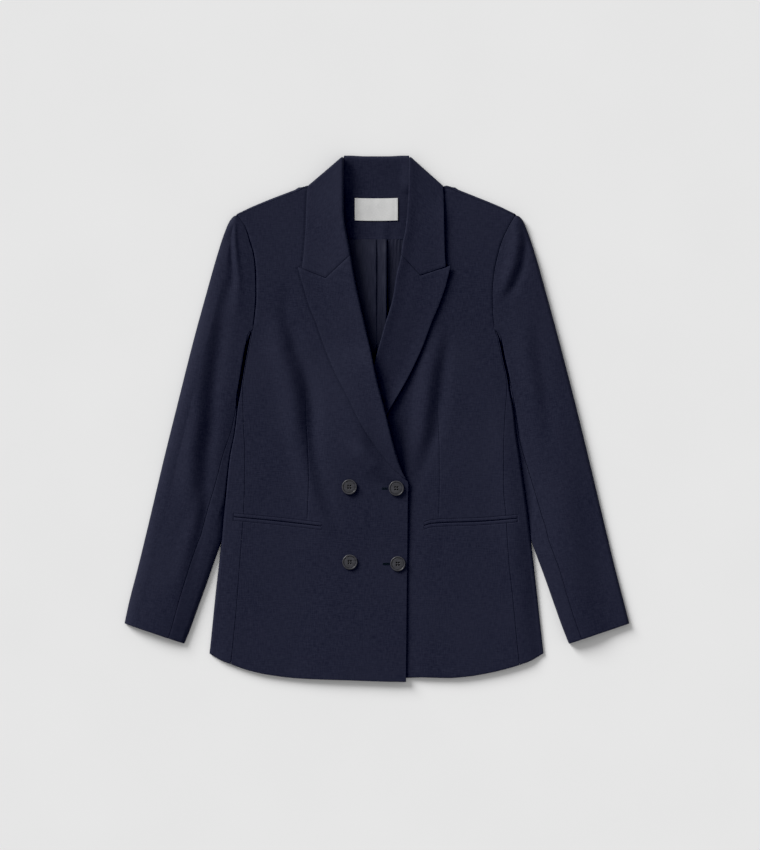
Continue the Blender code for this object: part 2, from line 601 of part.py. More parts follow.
def button_mesh():
    """Turned button with a raised rim and dished face, cut by its four holes."""
    top = BUTTON_THICK
    profile = ((0, top - BUTTON_DISH), (BUTTON_RADIUS - 2 * BUTTON_RIM, top - BUTTON_DISH),
               (BUTTON_RADIUS - BUTTON_RIM, top), (BUTTON_RADIUS - 0.7, top - 0.1),
               (BUTTON_RADIUS, top - 1.0), (BUTTON_RADIUS - 1.6, 0), (0, 0))
    mesh = bpy.data.meshes.new("button_profile")
    points = [(x * MM, 0, z * MM) for x, z in profile]
    mesh.from_pydata(points, [(i, i + 1) for i in range(len(points) - 1)], [])
    blank = bpy.data.objects.new("button_blank", mesh)
    turn = blank.modifiers.new("turn", "SCREW")
    turn.steps = 24
    turn.render_steps = 24
    turn.use_merge_vertices = True
    turn.merge_threshold = 0.00005
    bpy.data.collections["cutters"].objects.link(blank)
    drill = bmesh.new()
    for x in (-0.5, 0.5):
        for y in (-0.5, 0.5):
            made = bmesh.ops.create_cone(drill, cap_ends=True, segments=8, radius1=HOLE_RADIUS * MM,
                                         radius2=HOLE_RADIUS * MM, depth=4 * BUTTON_THICK * MM)
            bmesh.ops.translate(drill, verts=made["verts"], vec=(x * HOLE_PITCH * MM, y * HOLE_PITCH * MM, 0))
    drill_mesh = bpy.data.meshes.new("button_drill")
    drill.to_mesh(drill_mesh)
    drill.free()
    drill_object = bpy.data.objects.new("button_drill", drill_mesh)
    bpy.data.collections["cutters"].objects.link(drill_object)
    cut = blank.modifiers.new("holes", "BOOLEAN")
    cut.operation = "DIFFERENCE"
    cut.object = drill_object
    made = bpy.data.meshes.new_from_object(blank.evaluated_get(bpy.context.evaluated_depsgraph_get()))
    bpy.data.objects.remove(blank)
    bpy.data.objects.remove(drill_object)
    return made


def make_buttons():
    """Four buttons on the right front."""
    pattern = button_mesh()
    for number, (x, y) in enumerate(BUTTON_CENTRES, 1):
        button = add_object("button_%d" % number, pattern.copy(), (HORN_GREY, 0.35))
        around = np.array((-1.0, 0.0, 1.0)) * BUTTON_RADIUS
        seat = body_height("right", x + around[:, None], y + around[None, :]).max() + CLOTH / 2
        button.location = (x * MM, y * MM, (seat + LAYER) * MM)


def main():
    """Clear the scene and build every sub-part."""
    for old in list(bpy.data.objects):
        bpy.data.objects.remove(old)
    for name in ("double_breasted_blazer", "cutters"):
        bpy.context.scene.collection.children.link(bpy.data.collections.new(name))
    make_back()
    make_neck_facing()
    make_lining()
    make_label()
    make_collar_stand()
    make_collar_fall()
    make_buttons()
    for side in SIDES:
        make_front(side)
        make_side_panel(side)
        make_sleeve(side)
        make_lapel(side)
        make_welts(side)


main()
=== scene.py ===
"""Double breasted blazer, laid flat with its front up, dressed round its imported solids.

Frame: metres, +Z up from the surface, +Y towards the collar and +X towards the
wearer's left sleeve. Sizes and tables are in millimetres, and a mesh turns them
into metres when it is made. Every panel of cloth is a surface of two
parameters, worked out as a whole array, with a wall of even thickness and
rounded edges laid round it.
"""
import logging
import math
from collections.abc import Sequence
from dataclasses import dataclass
from enum import Enum

import bpy
import numpy as np
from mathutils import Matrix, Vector


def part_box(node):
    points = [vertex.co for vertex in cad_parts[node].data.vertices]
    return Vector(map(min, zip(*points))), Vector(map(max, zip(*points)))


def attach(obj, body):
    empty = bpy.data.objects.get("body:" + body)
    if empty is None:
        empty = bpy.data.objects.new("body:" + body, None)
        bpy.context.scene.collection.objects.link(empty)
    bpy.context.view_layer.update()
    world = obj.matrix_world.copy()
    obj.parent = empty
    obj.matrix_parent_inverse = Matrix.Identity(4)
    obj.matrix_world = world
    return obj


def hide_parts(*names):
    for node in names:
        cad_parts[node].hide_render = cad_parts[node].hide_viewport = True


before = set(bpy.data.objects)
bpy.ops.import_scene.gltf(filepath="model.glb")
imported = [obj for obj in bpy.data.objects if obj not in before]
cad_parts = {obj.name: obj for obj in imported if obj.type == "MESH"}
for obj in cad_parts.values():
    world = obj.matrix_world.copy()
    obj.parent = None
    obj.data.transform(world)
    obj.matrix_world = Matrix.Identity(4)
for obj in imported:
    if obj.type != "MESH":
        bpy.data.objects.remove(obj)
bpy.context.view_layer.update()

LOG = logging.getLogger("blazer")
MM = 0.001
WEAVE_MAP = "weave"

Colour = tuple[float, float, float]
Array = np.ndarray
Mesh = bpy.types.Mesh
Material = bpy.types.Material
Socket = bpy.types.NodeSocket


# ---- choices
class Side(Enum):
    """The garment's sides, as its wearer has them."""

    RIGHT = "right"
    LEFT = "left"

    @property
    def outward(self) -> float:
        """Sign of x towards that side's sleeve."""
        return -1.0 if self is Side.RIGHT else 1.0


class Slot(Enum):
    """Material slots of the record."""

    SUITING = "navy_suiting"
    LINING = "navy_lining"
    SATIN = "white_satin"
    HORN = "grey_horn"


class Held(Enum):
    """How a piece of cloth is held."""

    LAID = "laid"
    FOLDED = "folded"


# ---- numbers
def soft_step(value: Array | float) -> Array:
    """Smooth rise from 0 to 1: 3t^2 - 2t^3 with t held from 0 to 1.

    Args:
        value: where on the rise, 0 at its start and 1 at its end.

    Returns:
        The height of the rise.
    """
    t = np.clip(value, 0.0, 1.0)
    return t * t * (3.0 - 2.0 * t)


def bump(distance: Array | float, width: Array | float) -> Array:
    """Smooth bump of height 1: exp(-(distance / width)^2)."""
    return np.exp(-((distance / width) ** 2))


def row(start: float, end: float, count: int) -> Array:
    """Even steps along a row of a grid."""
    return np.linspace(start, end, count)[None, :]


def column(start: float, end: float, count: int) -> Array:
    """Even steps down a column of a grid."""
    return np.linspace(start, end, count)[:, None]


def angles(start: float, end: float, count: int) -> Array:
    """Even angles along a row of a grid, given in degrees and returned in radians."""
    return np.radians(row(start, end, count))


def join(*parts: Array) -> Array:
    """Grids side by side."""
    return np.concatenate(parts, axis=1)


def through(share: float, before: int, after: int) -> Array:
    """Shares from 0 to 1 along a row of a grid, one of them the given share."""
    return np.concatenate([np.linspace(0, share, before), np.linspace(share, 1, after)[1:]])[None, :]


@dataclass(frozen=True)
class Line:
    """A value that follows a key through given points."""

    keys: tuple[float, ...]
    values: tuple[float, ...]
    bent: bool = True

    def at(self, key: Array | float) -> Array:
        """Value at a key: a monotone cubic through the points, or straight stretches.

        The slope at a point is the weighted harmonic mean of its two
        stretches' slopes, or nothing where they turn.

        Args:
            key: where to read the line; beyond the ends it stays level.

        Returns:
            The values, in the key's shape.
        """
        order = np.argsort(self.keys)
        keys = np.array(self.keys, float)[order]
        values = np.array(self.values, float)[order]
        key = np.clip(key, keys[0], keys[-1])
        if not self.bent or len(keys) < 3:
            return np.interp(key, keys, values)
        step = np.diff(keys)
        slope = np.diff(values) / step
        before, after = slope[:-1], slope[1:]
        near, far = 2 * step[1:] + step[:-1], step[1:] + 2 * step[:-1]
        with np.errstate(divide="ignore", invalid="ignore"):
            mean = (near + far) / (near / before + far / after)
        slopes = np.concatenate([slope[:1], np.where(before * after > 0, mean, 0.0), slope[-1:]])
        i = np.clip(np.searchsorted(keys, key, side="right") - 1, 0, len(keys) - 2)
        t = (key - keys[i]) / step[i]
        start = (1 + 2 * t) * (1 - t) ** 2 * values[i] + t * (1 - t) ** 2 * step[i] * slopes[i]
        end = t * t * (3 - 2 * t) * values[i + 1] + t * t * (t - 1) * step[i] * slopes[i + 1]
        return start + end


@dataclass(frozen=True)
class Pair:
    """One line for each side of the garment."""

    right: Line
    left: Line

    def at(self, side: Side, key: Array | float) -> Array:
        """Value of that side's line at a key."""
        return (self.right if side is Side.RIGHT else self.left).at(key)


@dataclass(frozen=True)
class Both:
    """A number or a short row of numbers for each side of the garment."""

    right: float | tuple[float, ...]
    left: float | tuple[float, ...]

    def of(self, side: Side) -> float | tuple[float, ...]:
        """What that side has."""
        return self.right if side is Side.RIGHT else self.left


def line(*rows: tuple[float, float], bent: bool = True) -> Line:
    """A line from rows of key and value."""
    keys, values = zip(*rows)
    return Line(keys, values, bent)


def pair(*rows: tuple[float, float, float], bent: bool = True) -> Pair:
    """Two lines from rows of key, right value and left value."""
    keys, right, left = zip(*rows)
    return Pair(Line(keys, right, bent), Line(keys, left, bent))


@dataclass(frozen=True)
class Crease:
    """A soft trough, or a ridge where its depth is below zero, along points of x, y, depth and width."""

    points: tuple[tuple[float, float, float, float], ...]

    def profile(self, across: Array) -> Array:
        """Section of the crease: -exp(-u^2), with u the distance in widths."""
        return -np.exp(-(across**2))

    def height(self, x: Array, y: Array) -> Array:
        """Height of the crease: its depth times its section, from its nearest stretch.

        Args:
            x: across the garment.
            y: along it.

        Returns:
            The height at each place.
        """
        nearest = np.full(np.broadcast(x, y).shape, np.inf)
        height = np.zeros(nearest.shape)
        rows = np.array(self.points, float)
        for start, end in zip(rows[:-1], rows[1:]):
            run = end[:2] - start[:2]
            t = np.clip(((x - start[0]) * run[0] + (y - start[1]) * run[1]) / (run @ run), 0, 1)
            length = np.linalg.norm(run)
            across = ((y - start[1]) * run[0] - (x - start[0]) * run[1]) / length
            distance = np.hypot(x - start[0] - t * run[0], y - start[1] - t * run[1])
            beyond = np.sqrt(np.maximum(distance**2 - across**2, 0.0))
            depth, width = (start[k] + t * (end[k] - start[k]) for k in (2, 3))
            found = depth * self.profile(across / width) * bump(beyond, width)
            height = np.where(distance < nearest, found, height)
            nearest = np.minimum(nearest, distance)
        return height


@dataclass(frozen=True)
class Fall(Crease):
    """A drape line: the cloth stands up on its left, towards -x, and lies low on its right."""

    high_reach: float = 1.25
    low_reach: float = 0.9

    def profile(self, across: Array) -> Array:
        """Section of the fall: -u * exp((1 - (u / k)^2) / 2), with k the reach on that side."""
        reach = np.where(across < 0, self.high_reach, self.low_reach)
        return -across * np.exp((1 - (across / reach) ** 2) / 2)


def ripples(x: Array, y: Array) -> Array:
    """Slight unevenness of laid cloth: five crossing waves of 35 to 150 mm, each a few hundredths of a mm high.

    Args:
        x: across the garment.
        y: along it.

    Returns:
        The height at each place.
    """
    waves = ((0.11, 0.043, 0.018, 0.4), (0.09, -0.021, 0.052, 2.1), (0.05, 0.118, -0.047, 4.4),
             (0.04, 0.072, 0.139, 1.3), (0.03, -0.164, 0.061, 5.2))
    total = np.zeros(np.broadcast(x, y).shape)
    for height, along_x, along_y, phase in waves:
        total = total + height * np.sin(along_x * x + along_y * y + phase)
    return total


def ruled(anchors: Sequence[Array], counts: Sequence[int], beside: Sequence[float], most: float = 0.35) -> Array:
    """Columns of a grid through anchor lines: fixed small steps beside each anchor, even steps between.

    Args:
        anchors: each anchor line's place on every row, one column each.
        counts: even steps in each space between two anchors.
        beside: distances from an anchor at which a column runs along it.
        most: largest share of a space that those small steps take at one end.

    Returns:
        The columns' places, one row for each row of the anchors.
    """
    parts = [anchors[0]]
    for start, end, count in zip(anchors[:-1], anchors[1:], counts):
        run = end - start
        near = np.array(beside)[None, :] * np.minimum(1.0, most * np.abs(run) / beside[-1]) * np.sign(run)
        first, last = start + near, end - near[:, ::-1]
        share = row(0, 1, count + 1)[:, 1:-1]
        parts += [first, first[:, -1:] + (last[:, :1] - first[:, -1:]) * share, last, end]
    return join(*parts)


# ---- walls of cloth
@dataclass(frozen=True)
class Wall:
    """A wall of cloth round a grid of middle points, with rounded edges."""

    points: Array
    weave: Array
    thickness: float

    RIM = np.radians((36.0, 72.0, 108.0, 144.0))
    CAP = np.radians((25.0, 50.0, 75.0))
    SHORT = 1e-9    # least length to divide by

    def normals(self) -> Array:
        """Unit normals of the middle surface: the cross product of its steps along rows and columns."""
        normal = np.cross(np.gradient(self.points, axis=1), np.gradient(self.points, axis=0))
        return normal / np.maximum(np.linalg.norm(normal, axis=2, keepdims=True), self.SHORT)

    def rim(self, normal: Array, edge: int, inner: int, turns: Array) -> tuple[Array, Array, Array]:
        """Rounded edge along one side of the grid.

        A point is the edge point plus half the thickness times
        (outward * sin a + normal * cos a).

        Args:
            normal: unit normals of the middle surface.
            edge: the edge's column.
            inner: the column beside it.
            turns: angles round the edge.

        Returns:
            The points, and the middle point and cloth coordinates of each.
        """
        half = self.thickness / 2
        outward = self.points[:, edge] - self.points[:, inner]
        length = np.maximum(np.linalg.norm(outward, axis=1, keepdims=True), self.SHORT)
        stretch = (self.weave[:, edge] - self.weave[:, inner]) / length
        reach, lift = np.sin(turns)[None, :, None], np.cos(turns)[None, :, None]
        middle = np.repeat(self.points[:, edge, None], len(turns), axis=1)
        shift = half * ((outward / length)[:, None] * reach + normal[:, edge, None] * lift)
        return middle + shift, middle, self.weave[:, edge, None] + stretch[:, None] * half * reach

    def cap(self, bands: tuple[Array, Array, Array], edge: int, inner: int) -> tuple[Array, Array]:
        """Rounded end beyond one end row: the row moved outward by sin b, with its thickness times cos b.

        Args:
            bands: points, middle points and cloth coordinates of every loop.
            edge: the end row.
            inner: the row beside it.

        Returns:
            The points and the cloth coordinates of the further loops.
        """
        loop, middle, weave = bands
        half = self.thickness / 2
        outward = middle[edge] - middle[inner]
        length = np.maximum(np.linalg.norm(outward, axis=1, keepdims=True), self.SHORT)
        reach, lift = np.sin(self.CAP)[:, None, None], np.cos(self.CAP)[:, None, None]
        rows = middle[edge] + half * (outward / length) * reach + (loop[edge] - middle[edge]) * lift
        return rows, weave[edge] + (weave[edge] - weave[inner]) / length * half * reach

    def mesh(self, name: str) -> Mesh:
        """Closed mesh: each row becomes a loop over, round the rim, under and back; end rows are rounded off.

        Args:
            name: name of the mesh.

        Returns:
            The mesh, with its cloth coordinates in a UV map.
        """
        half = self.thickness / 2
        normal = self.normals()
        over = (self.points + normal * half, self.points, self.weave)
        under = tuple(part[:, ::-1] for part in (self.points - normal * half, self.points, self.weave))
        around = (over, self.rim(normal, -1, -2, self.RIM), under, self.rim(normal, 0, 1, self.RIM[::-1]))
        bands = tuple(join(*parts) for parts in zip(*around))
        first, first_weave = self.cap(bands, 0, 1)
        last, last_weave = self.cap(bands, -1, -2)
        loop = np.concatenate([first[::-1], bands[0], last])
        weave = np.concatenate([first_weave[::-1], bands[2], last_weave])
        index, faces = tube(*loop.shape[:2])
        size, columns = loop.shape[1], self.points.shape[1]
        top = np.concatenate([[size - 2, size - 1], np.arange(columns + 2)])
        below = (2 * columns + 3 - top) % size
        strip = np.stack([top[:-1], top[1:], below[1:], below[:-1]], axis=1)
        faces = np.concatenate([faces, index[0][strip[:, ::-1]], index[-1][strip]])
        return grid_mesh(name, loop.reshape(-1, 3), faces, weave.reshape(-1, 2))


def tube(rows: int, columns: int) -> tuple[Array, Array]:
    """Point numbers of a grid whose rows are closed loops, and the quads between them.

    Args:
        rows: number of loops.
        columns: points in each loop.

    Returns:
        The numbers as a grid, and four of them for each quad.
    """
    index = np.arange(rows * columns).reshape(rows, columns)
    after = np.roll(index, -1, axis=1)
    return index, np.stack([index[:-1], after[:-1], after[1:], index[1:]], axis=2).reshape(-1, 4)


def grid_mesh(name: str, points: Array, faces: Array, weave: Array | None = None) -> Mesh:
    """Mesh of quads from arrays.

    Args:
        name: name of the mesh.
        points: places in millimetres.
        faces: four indices for each face.
        weave: cloth coordinates of each point in millimetres, if it has them.

    Returns:
        The mesh in metres, shaded smooth.
    """
    mesh = bpy.data.meshes.new(name)
    mesh.vertices.add(len(points))
    mesh.vertices.foreach_set("co", (points * MM).astype(np.float32).ravel())
    mesh.loops.add(faces.size)
    mesh.loops.foreach_set("vertex_index", faces.astype(np.int32).ravel())
    mesh.polygons.add(len(faces))
    mesh.polygons.foreach_set("loop_start", np.arange(0, faces.size, 4, dtype=np.int32))
    if weave is not None:
        layer = mesh.uv_layers.new(name=WEAVE_MAP)
        layer.data.foreach_set("uv", (weave[faces.ravel()] * MM).astype(np.float32).ravel())
    mesh.update()
    mesh.validate()
    mesh.shade_smooth()
    return mesh


def stack(x: Array, y: Array, z: Array) -> Array:
    """Three arrays that share rows and columns as one grid of points."""
    return np.stack(np.broadcast_arrays(x, y, z), axis=2).astype(float)


def plain_wall(points: Array, thickness: float) -> Wall:
    """A wall whose cloth coordinates are its x and y."""
    return Wall(points, points[..., :2].copy(), thickness)


def across_lengths(points: Array) -> Array:
    """Running length along each row, from its first point."""
    steps = np.linalg.norm(np.diff(points, axis=1), axis=2)
    return join(np.zeros((len(points), 1)), np.cumsum(steps, axis=1))


def turned_weave(points: Array, angle: float) -> Array:
    """Cloth coordinates of a nearly flat piece: x and y turned by an angle.

    Args:
        points: the piece's grid.
        angle: the angle in degrees.

    Returns:
        The coordinates of each point.
    """
    turn = math.radians(angle)
    u = points[..., 0] * math.cos(turn) + points[..., 1] * math.sin(turn)
    v = points[..., 1] * math.cos(turn) - points[..., 0] * math.sin(turn)
    return np.stack([u, v], axis=-1)


def new_object(name: str, mesh: Mesh, finish: Material) -> bpy.types.Object:
    """Link a mesh as a piece with one material.

    Args:
        name: name of the piece.
        mesh: its mesh.
        finish: its material.

    Returns:
        The piece.
    """
    mesh.materials.append(finish)
    piece = bpy.data.objects.new(name, mesh)
    bpy.context.scene.collection.objects.link(piece)
    return piece


def register(piece: bpy.types.Object, nodes: Sequence[str]) -> bpy.types.Object:
    """Let a piece ride on the garment and stand for its solids.

    Args:
        piece: the finished piece.
        nodes: names of the solids that it stands for.

    Returns:
        The same piece.
    """
    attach(piece, "root")
    if nodes:
        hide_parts(*nodes)
    LOG.info("%s: %d faces", piece.name, len(piece.data.polygons))
    return piece


def lay_cloth(name: str, wall: Wall, finish: Material, nodes: Sequence[str]) -> bpy.types.Object:
    """Args:
        name: name of the piece.
        wall: its surface and thickness.
        finish: its material.
        nodes: names of the solids that it stands for.

    Returns:
        The piece.
    """
    piece = register(new_object(name, wall.mesh(name), finish), nodes)
    return piece


# ---- the garment's form
@dataclass(frozen=True)
class BodyForm:
    """Outlines and heights that every panel of the garment shares."""

    cloth: float = 1.4        # wall of the suiting where it is doubled
    gap: float = 0.12         # between two rims that are sewn together
    base: float = 1.0         # from the surface to the middle of the lowest cloth
    turn: float = 2.7         # from the middle of a front to what is turned back on it
    roll_rise: float = 2.0    # further rise of a lapel at its roll line
    roll_spread: float = 10.0
    left_roll: float = 50.0   # y up to which the left lapel has no such rise, and over which it grows
    roll_foot: float = -84.0
    roll_taper: float = 44.0
    roll_reach: Both = Both(1.4, 0.2)      # furthest that the roll comes out
    lapel_start: Both = Both(2.3, 1.0)     # from the roll line to the lapel's first column
    leg_start: Both = Both(3.1, 1.2)       # and to the collar leg's
    shoulder_end: float = 279.0            # y where the shoulder meets the armhole
    neck_y: float = 316.0                  # y where it meets the collar
    armpit: float = 122.0
    hem_row: float = -325.0
    hem_inset: float = 0.6
    hem_reach: float = 125.0
    flap: float = 28.0        # from a side's fold to the seam beneath it
    overlap_ramp: float = 85.0
    overlap_lead: float = 2.0
    underlap_edge: float = 40.0
    underlap_ramp: float = 30.0
    underlap_drop: Line = line((150, 0), (40, 2.6), (-60, 2.6), (-112, 1), (-325, 0.9))
    tuck: float = 1.3         # radius of the cloth at the foot of a folded side
    edge_spread: float = 1.8  # width of the press along a turned edge
    press: float = 0.4
    press_reach: float = 4.0  # outside the edge of what lies on the front
    press_under: float = 14.0
    press_fade: float = 20.0
    press_foot: float = -70.0
    press_ramp: float = 30.0
    side_drop: Pair = pair(
        (122, 0, 0), (60, 0.4, 0.6), (-60, 0.6, 0.9), (-150, 1.5, 1.2), (-190, 1.6, 3.2), (-325, 1.8, 3.4))
    side_spread: float = 15.0
    seam_sink: Pair = pair(
        (279, 0, 0), (262, 0.8, 0.4), (240, 1.7, 0.8), (215, 1.9, 0.8), (170, 1.5, 0.6), (130, 0.7, 0.3), (122, 0, 0))
    seam_spread: float = 1.8
    lift_spread: float = 58.0
    pocket_level: float = -142.0
    pocket_half: float = 5.45
    pocket_wall: float = 0.5
    pocket_end_wall: float = 0.3
    pocket_depth: float = 1.1
    mouth_reach: float = 62.0    # from the mouth to the last row that bends with it
    mouth_ramp: float = 48.0
    mouth_rows: tuple[float, ...] = (0.6, 1.4, 2.8, 4.2, 4.9, 5.2, 5.5, 5.8, 6.2, 7.0, 8.4)
    mouth_clear: float = 10.0
    pocket_ends: Both = Both((-197.6, -76.3), (192.7, 64.8))

    shoulder: Pair = pair(
        (316, -100.5, 99.8), (303, -135.1, 132.7), (291, -166, 163.7), (279, -193, 190.2), bent=False)
    outer_seam: Pair = pair(
        (279, -193, 190.2), (265, -182.6, 182), (244, -175.8, 172.3), (224, -170.2, 166.4), (199, -167.8, 161.3),
        (172, -167.3, 159), (146, -168.9, 159.6), (122, -171.8, 162.4), (111, -173.4, 165.8), (98, -176, 168.8),
        (77, -179.9, 173), (57, -183.2, 177.6), (42, -184.9, 178.9), (13, -184.7, 176.9), (-12, -184, 175.4),
        (-47, -182.3, 174.4), (-99, -182.7, 174.6), (-134, -184, 177.4), (-196, -188.8, 181.6), (-250, -193.4, 188),
        (-325, -201.6, 196.4))
    side_fold: Pair = pair(
        (122, -172.5, 163.6), (113, -174.7, 167.2), (83, -180.4, 173.4), (57, -184.9, 179.4), (33, -189.3, 184),
        (13, -192.8, 187.7), (-22, -197.1, 191.7), (-52, -203, 196.5), (-110, -209.3, 204.6), (-171, -214.7, 212.3),
        (-240, -222.7, 220.5), (-325, -231.2, 229.6))
    inner_line: Pair = pair(
        (361, -46, 44), (319, -46.2, 43.5), (286, -46.1, 41.7), (261, -43.3, 39.2), (242, -39.7, 35.3),
        (222, -36, 32.4), (200, -32.3, 27.2), (164, -25, 21.3), (128, -16.7, 10.6), (94, -8.9, 1.1), (54, -0.7, -11),
        (5, 12.1, -22), (-26, 19.7, -31), (-62, 30.1, -39), (-78, 36.6, -43), (-90, 43.2, -45), (-113, 42.6, -45),
        (-154, 42.2, -45), (-325, 39.9, -45))
    retreat: Line = line((316, 7), (232, 7), (218, 4.5), (-79, 4.5), (-87, 0), (-325, 0), bent=False)
    lapel_edge: Pair = pair(
        (208, -109.3, 101), (179, -100.9, 93.5), (159, -95.1, 86.5), (130, -83.5, 74.6), (101, -73.6, 63.8),
        (61, -57.1, 45.4), (25, -38.6, 25), (-3, -25, 8), (-34, -5.8, -12), (-67, 19.7, -32), (-79, 32.3, -38),
        (-84, 37.2, -40.5))
    collar_edge: Pair = pair(
        (207, -103.4, 94.8), (226, -101.2, 93.4), (265, -98.5, 92.6), (310, -96.7, 91.6), (318, -95.6, 91))
    hem: Pair = pair(
        (-231, -324.6, -357), (-217, -333, -357), (-203, -338.7, -357), (-175, -348.3, -357), (-148, -354.1, -357),
        (-106, -358.9, -357), (-51, -361, -357), (40, -363.5, -357), (100, -363, -358.2), (128, -356, -355.8),
        (156, -350.9, -350.9), (183, -344.3, -344.3), (211, -334.8, -334.8), (230, -324, -324))
    notch: Both = Both((-70.8, 192.9), (59.6, 196.5))
    peak: Both = Both((-109.3, 208.3), (101.0, 210.2))
    gorge_top: float = 222.0
    gorge_start: float = 3.35            # from the roll line to the seam's first point
    gorge_sink: float = 0.5
    gorge_spread: float = 1.3
    gorge_foot: float = 209.0            # y that parts the collar's outer edge from the lapel's
    gorge_gap: Both = Both(0.0, 0.25)    # further space on each side of the gorge seam

    level: Line = line((316, 6.8), (200, 7), (100, 6.8), (-200, 6.8), (-325, 6.2))
    overlap: Line = line((316, 0), (112, 0), (72, 4.2), (-30, 4.6), (-95, 3.6), (-160, 2.2), (-200, 1.9), (-325, 1.9))
    roll_lift: Pair = pair(
        (361, 1, 1), (316, 1, 1), (245, 2.5, 2), (165, 4.5, 3), (85, 5.5, 2.5), (40, 6.2, 0), (15, 6.2, 0),
        (-20, 5.3, 0), (-60, 2.3, 0), (-90, 0, 0))
    neck_rise: Pair = pair(
        (361, 3, 0.8), (340, 5, 1.2), (290, 6.5, 1.2), (235, 6.2, 0.8), (165, 3.8, 0.3), (85, 1, 0.1), (0, 0, 0),
        (-78, 0, 0))
    neck_spread: float = 34.0
    creases: tuple[tuple[Side, Crease], ...] = (
        (Side.RIGHT, Fall(((-134, 150, 0.2, 9), (-126, 121, 2.3, 10), (-121, 94, 3.5, 11), (-110.5, 66, 4.3, 12),
            (-103.6, 39, 4.6, 12), (-99.5, 11, 4.6, 11.5), (-98, -16, 4, 11), (-94, -44, 3, 10), (-88, -70, 2.3, 9.5),
            (-78, -103, 1.9, 9), (-66, -130, 1.3, 9), (-52, -147, 0.2, 8)))),
        (Side.RIGHT, Fall(((-26, -22, 0.4, 9), (-12, -42, 3.6, 9), (4, -60, 3.4, 9), (17, -75, 1.4, 8),
            (28, -86, 0.1, 8)))),
        (Side.RIGHT, Crease(((-118, 190, 0.2, 12), (-124, 160, 1.2, 12), (-132, 120, 0.9, 12), (-140, 80, 0.1, 12)))),
        (Side.LEFT, Fall(((93, 125, 0.2, 8), (92, 108, 0.9, 8), (84, 66, 2.6, 9), (78.6, 25, 3.1, 10),
            (73, -16, 2.8, 9.5), (66, -38, 2.1, 9), (60, -58, 1.5, 9), (50, -90, 0.2, 8)))),
        (Side.LEFT, Crease(((31, 14, 0.3, 5), (33.5, -20, 1.8, 6), (34.5, -46, 1.8, 6), (36, -66, 1.1, 5),
            (38, -84, 0.1, 5)))),
        (Side.LEFT, Crease(((168, 40, -0.2, 18), (176, -30, -1.6, 19), (184, -105, -2.4, 20), (192, -180, -2, 21),
            (200, -260, -0.6, 22)))))
    darts: Pair = pair(
        (316, -98.2, 97.4), (303, -110, 106), (279, -119, 112), (224, -122, 113), (208, -121, 112), (179, -112, 100),
        (120, -104, 86), (33, -98.9, 83.9), (-7, -97.6, 84.6), (-45, -95.5, 86), (-85, -94.1, 86.2),
        (-139, -96.2, 85.2), (-325, -98, 84))
    dart_depth: Pair = pair((46, 0, 0), (24, 0.25, 0.2), (-30, 0.6, 0.45), (-128, 0.75, 0.45), (-134, 0, 0))
    pocket_right: Line = line((-197.5, -136.3), (-140, -141.8), (-76.5, -149))
    pocket_left: Line = line((65, -148.2), (74, -145.6), (88, -144.4), (140, -142.6), (192.5, -138.3))

    def inset(self) -> float:
        """From a seam to the middle line of a wall's edge beside it."""
        return (self.cloth + self.gap) / 2

    def seam(self, side: Side, y: Array) -> Array:
        """x of the front's outer seam: the straight shoulder, then the armhole and the side panel."""
        return np.where(y > self.shoulder_end, self.shoulder.at(side, y), self.outer_seam.at(side, y))

    def mouth(self, side: Side, x: Array) -> Array:
        """y of the pocket's mouth at x."""
        return (self.pocket_right if side is Side.RIGHT else self.pocket_left).at(x)

    def hang(self, side: Side, x: Array, y: Array) -> Array:
        """Real y of a nominal row, which bends to the hem's curve below and to the pocket's mouth near it.

        Args:
            side: side of the garment.
            x: across it.
            y: nominal rows.

        Returns:
            The real y of each place.
        """
        to_hem = soft_step((self.hem_row + self.hem_reach - y) / self.hem_reach)
        to_mouth = soft_step((self.mouth_reach - np.abs(y - self.pocket_level)) / self.mouth_ramp)
        shift = to_hem * (self.hem.at(side, x) - self.hem_row)
        return y + shift + to_mouth * (self.mouth(side, x) - self.pocket_level - shift)

    def height(self, side: Side, x: Array, y: Array) -> Array:
        """Middle of the front's cloth above the surface: level, creases, lift to the roll line and overlap.

        Args:
            side: side of the garment.
            x: across it.
            y: along it.

        Returns:
            The height at each place.
        """
        height = self.level.at(y) + ripples(x, y)
        for owner, crease in self.creases:
            if owner is side:
                height = height + crease.height(x, y)
        distance = np.abs(x - self.inner_line.at(side, y))
        height = height + self.roll_lift.at(side, y) * bump(distance, self.lift_spread)
        from_side = np.abs(x - self.side_fold.at(side, y))
        height = height - self.side_drop.at(side, y) * bump(from_side, self.side_spread)
        from_arm = np.abs(x - self.outer_seam.at(side, y))
        height = height - self.seam_sink.at(side, y) * bump(from_arm, self.seam_spread)
        if side is Side.RIGHT:
            ramp = (x - self.inner_line.at(Side.LEFT, y) + self.overlap_ramp + self.overlap_lead) / self.overlap_ramp
            return height + self.overlap.at(y) * soft_step(ramp)
        return height - self.underlap_drop.at(y) * (1 - soft_step((x - self.underlap_edge) / self.underlap_ramp))

    def turned(self, side: Side, x: Array, y: Array) -> Array:
        """Middle of the cloth that is turned back on a front: its lapel or its collar leg.

        Args:
            side: side of the garment.
            x: across it.
            y: along it.

        Returns:
            The height at each place.
        """
        distance = np.abs(x - self.inner_line.at(side, y))
        rise = self.roll_rise * (1.0 if side is Side.RIGHT else soft_step((y - self.left_roll) / self.left_roll))
        stood = self.neck_rise.at(side, y) * bump(distance, self.neck_spread)
        seam = self.gorge_sink * bump(y - self.gorge_y(side, x), self.gorge_spread)
        taper = soft_step((y - self.roll_foot) / self.roll_taper)
        turned = self.height(side, x, y) + self.cloth + self.gap + (self.turn - self.cloth - self.gap) * taper + stood
        return turned - seam + taper * rise * bump(distance, self.roll_spread)

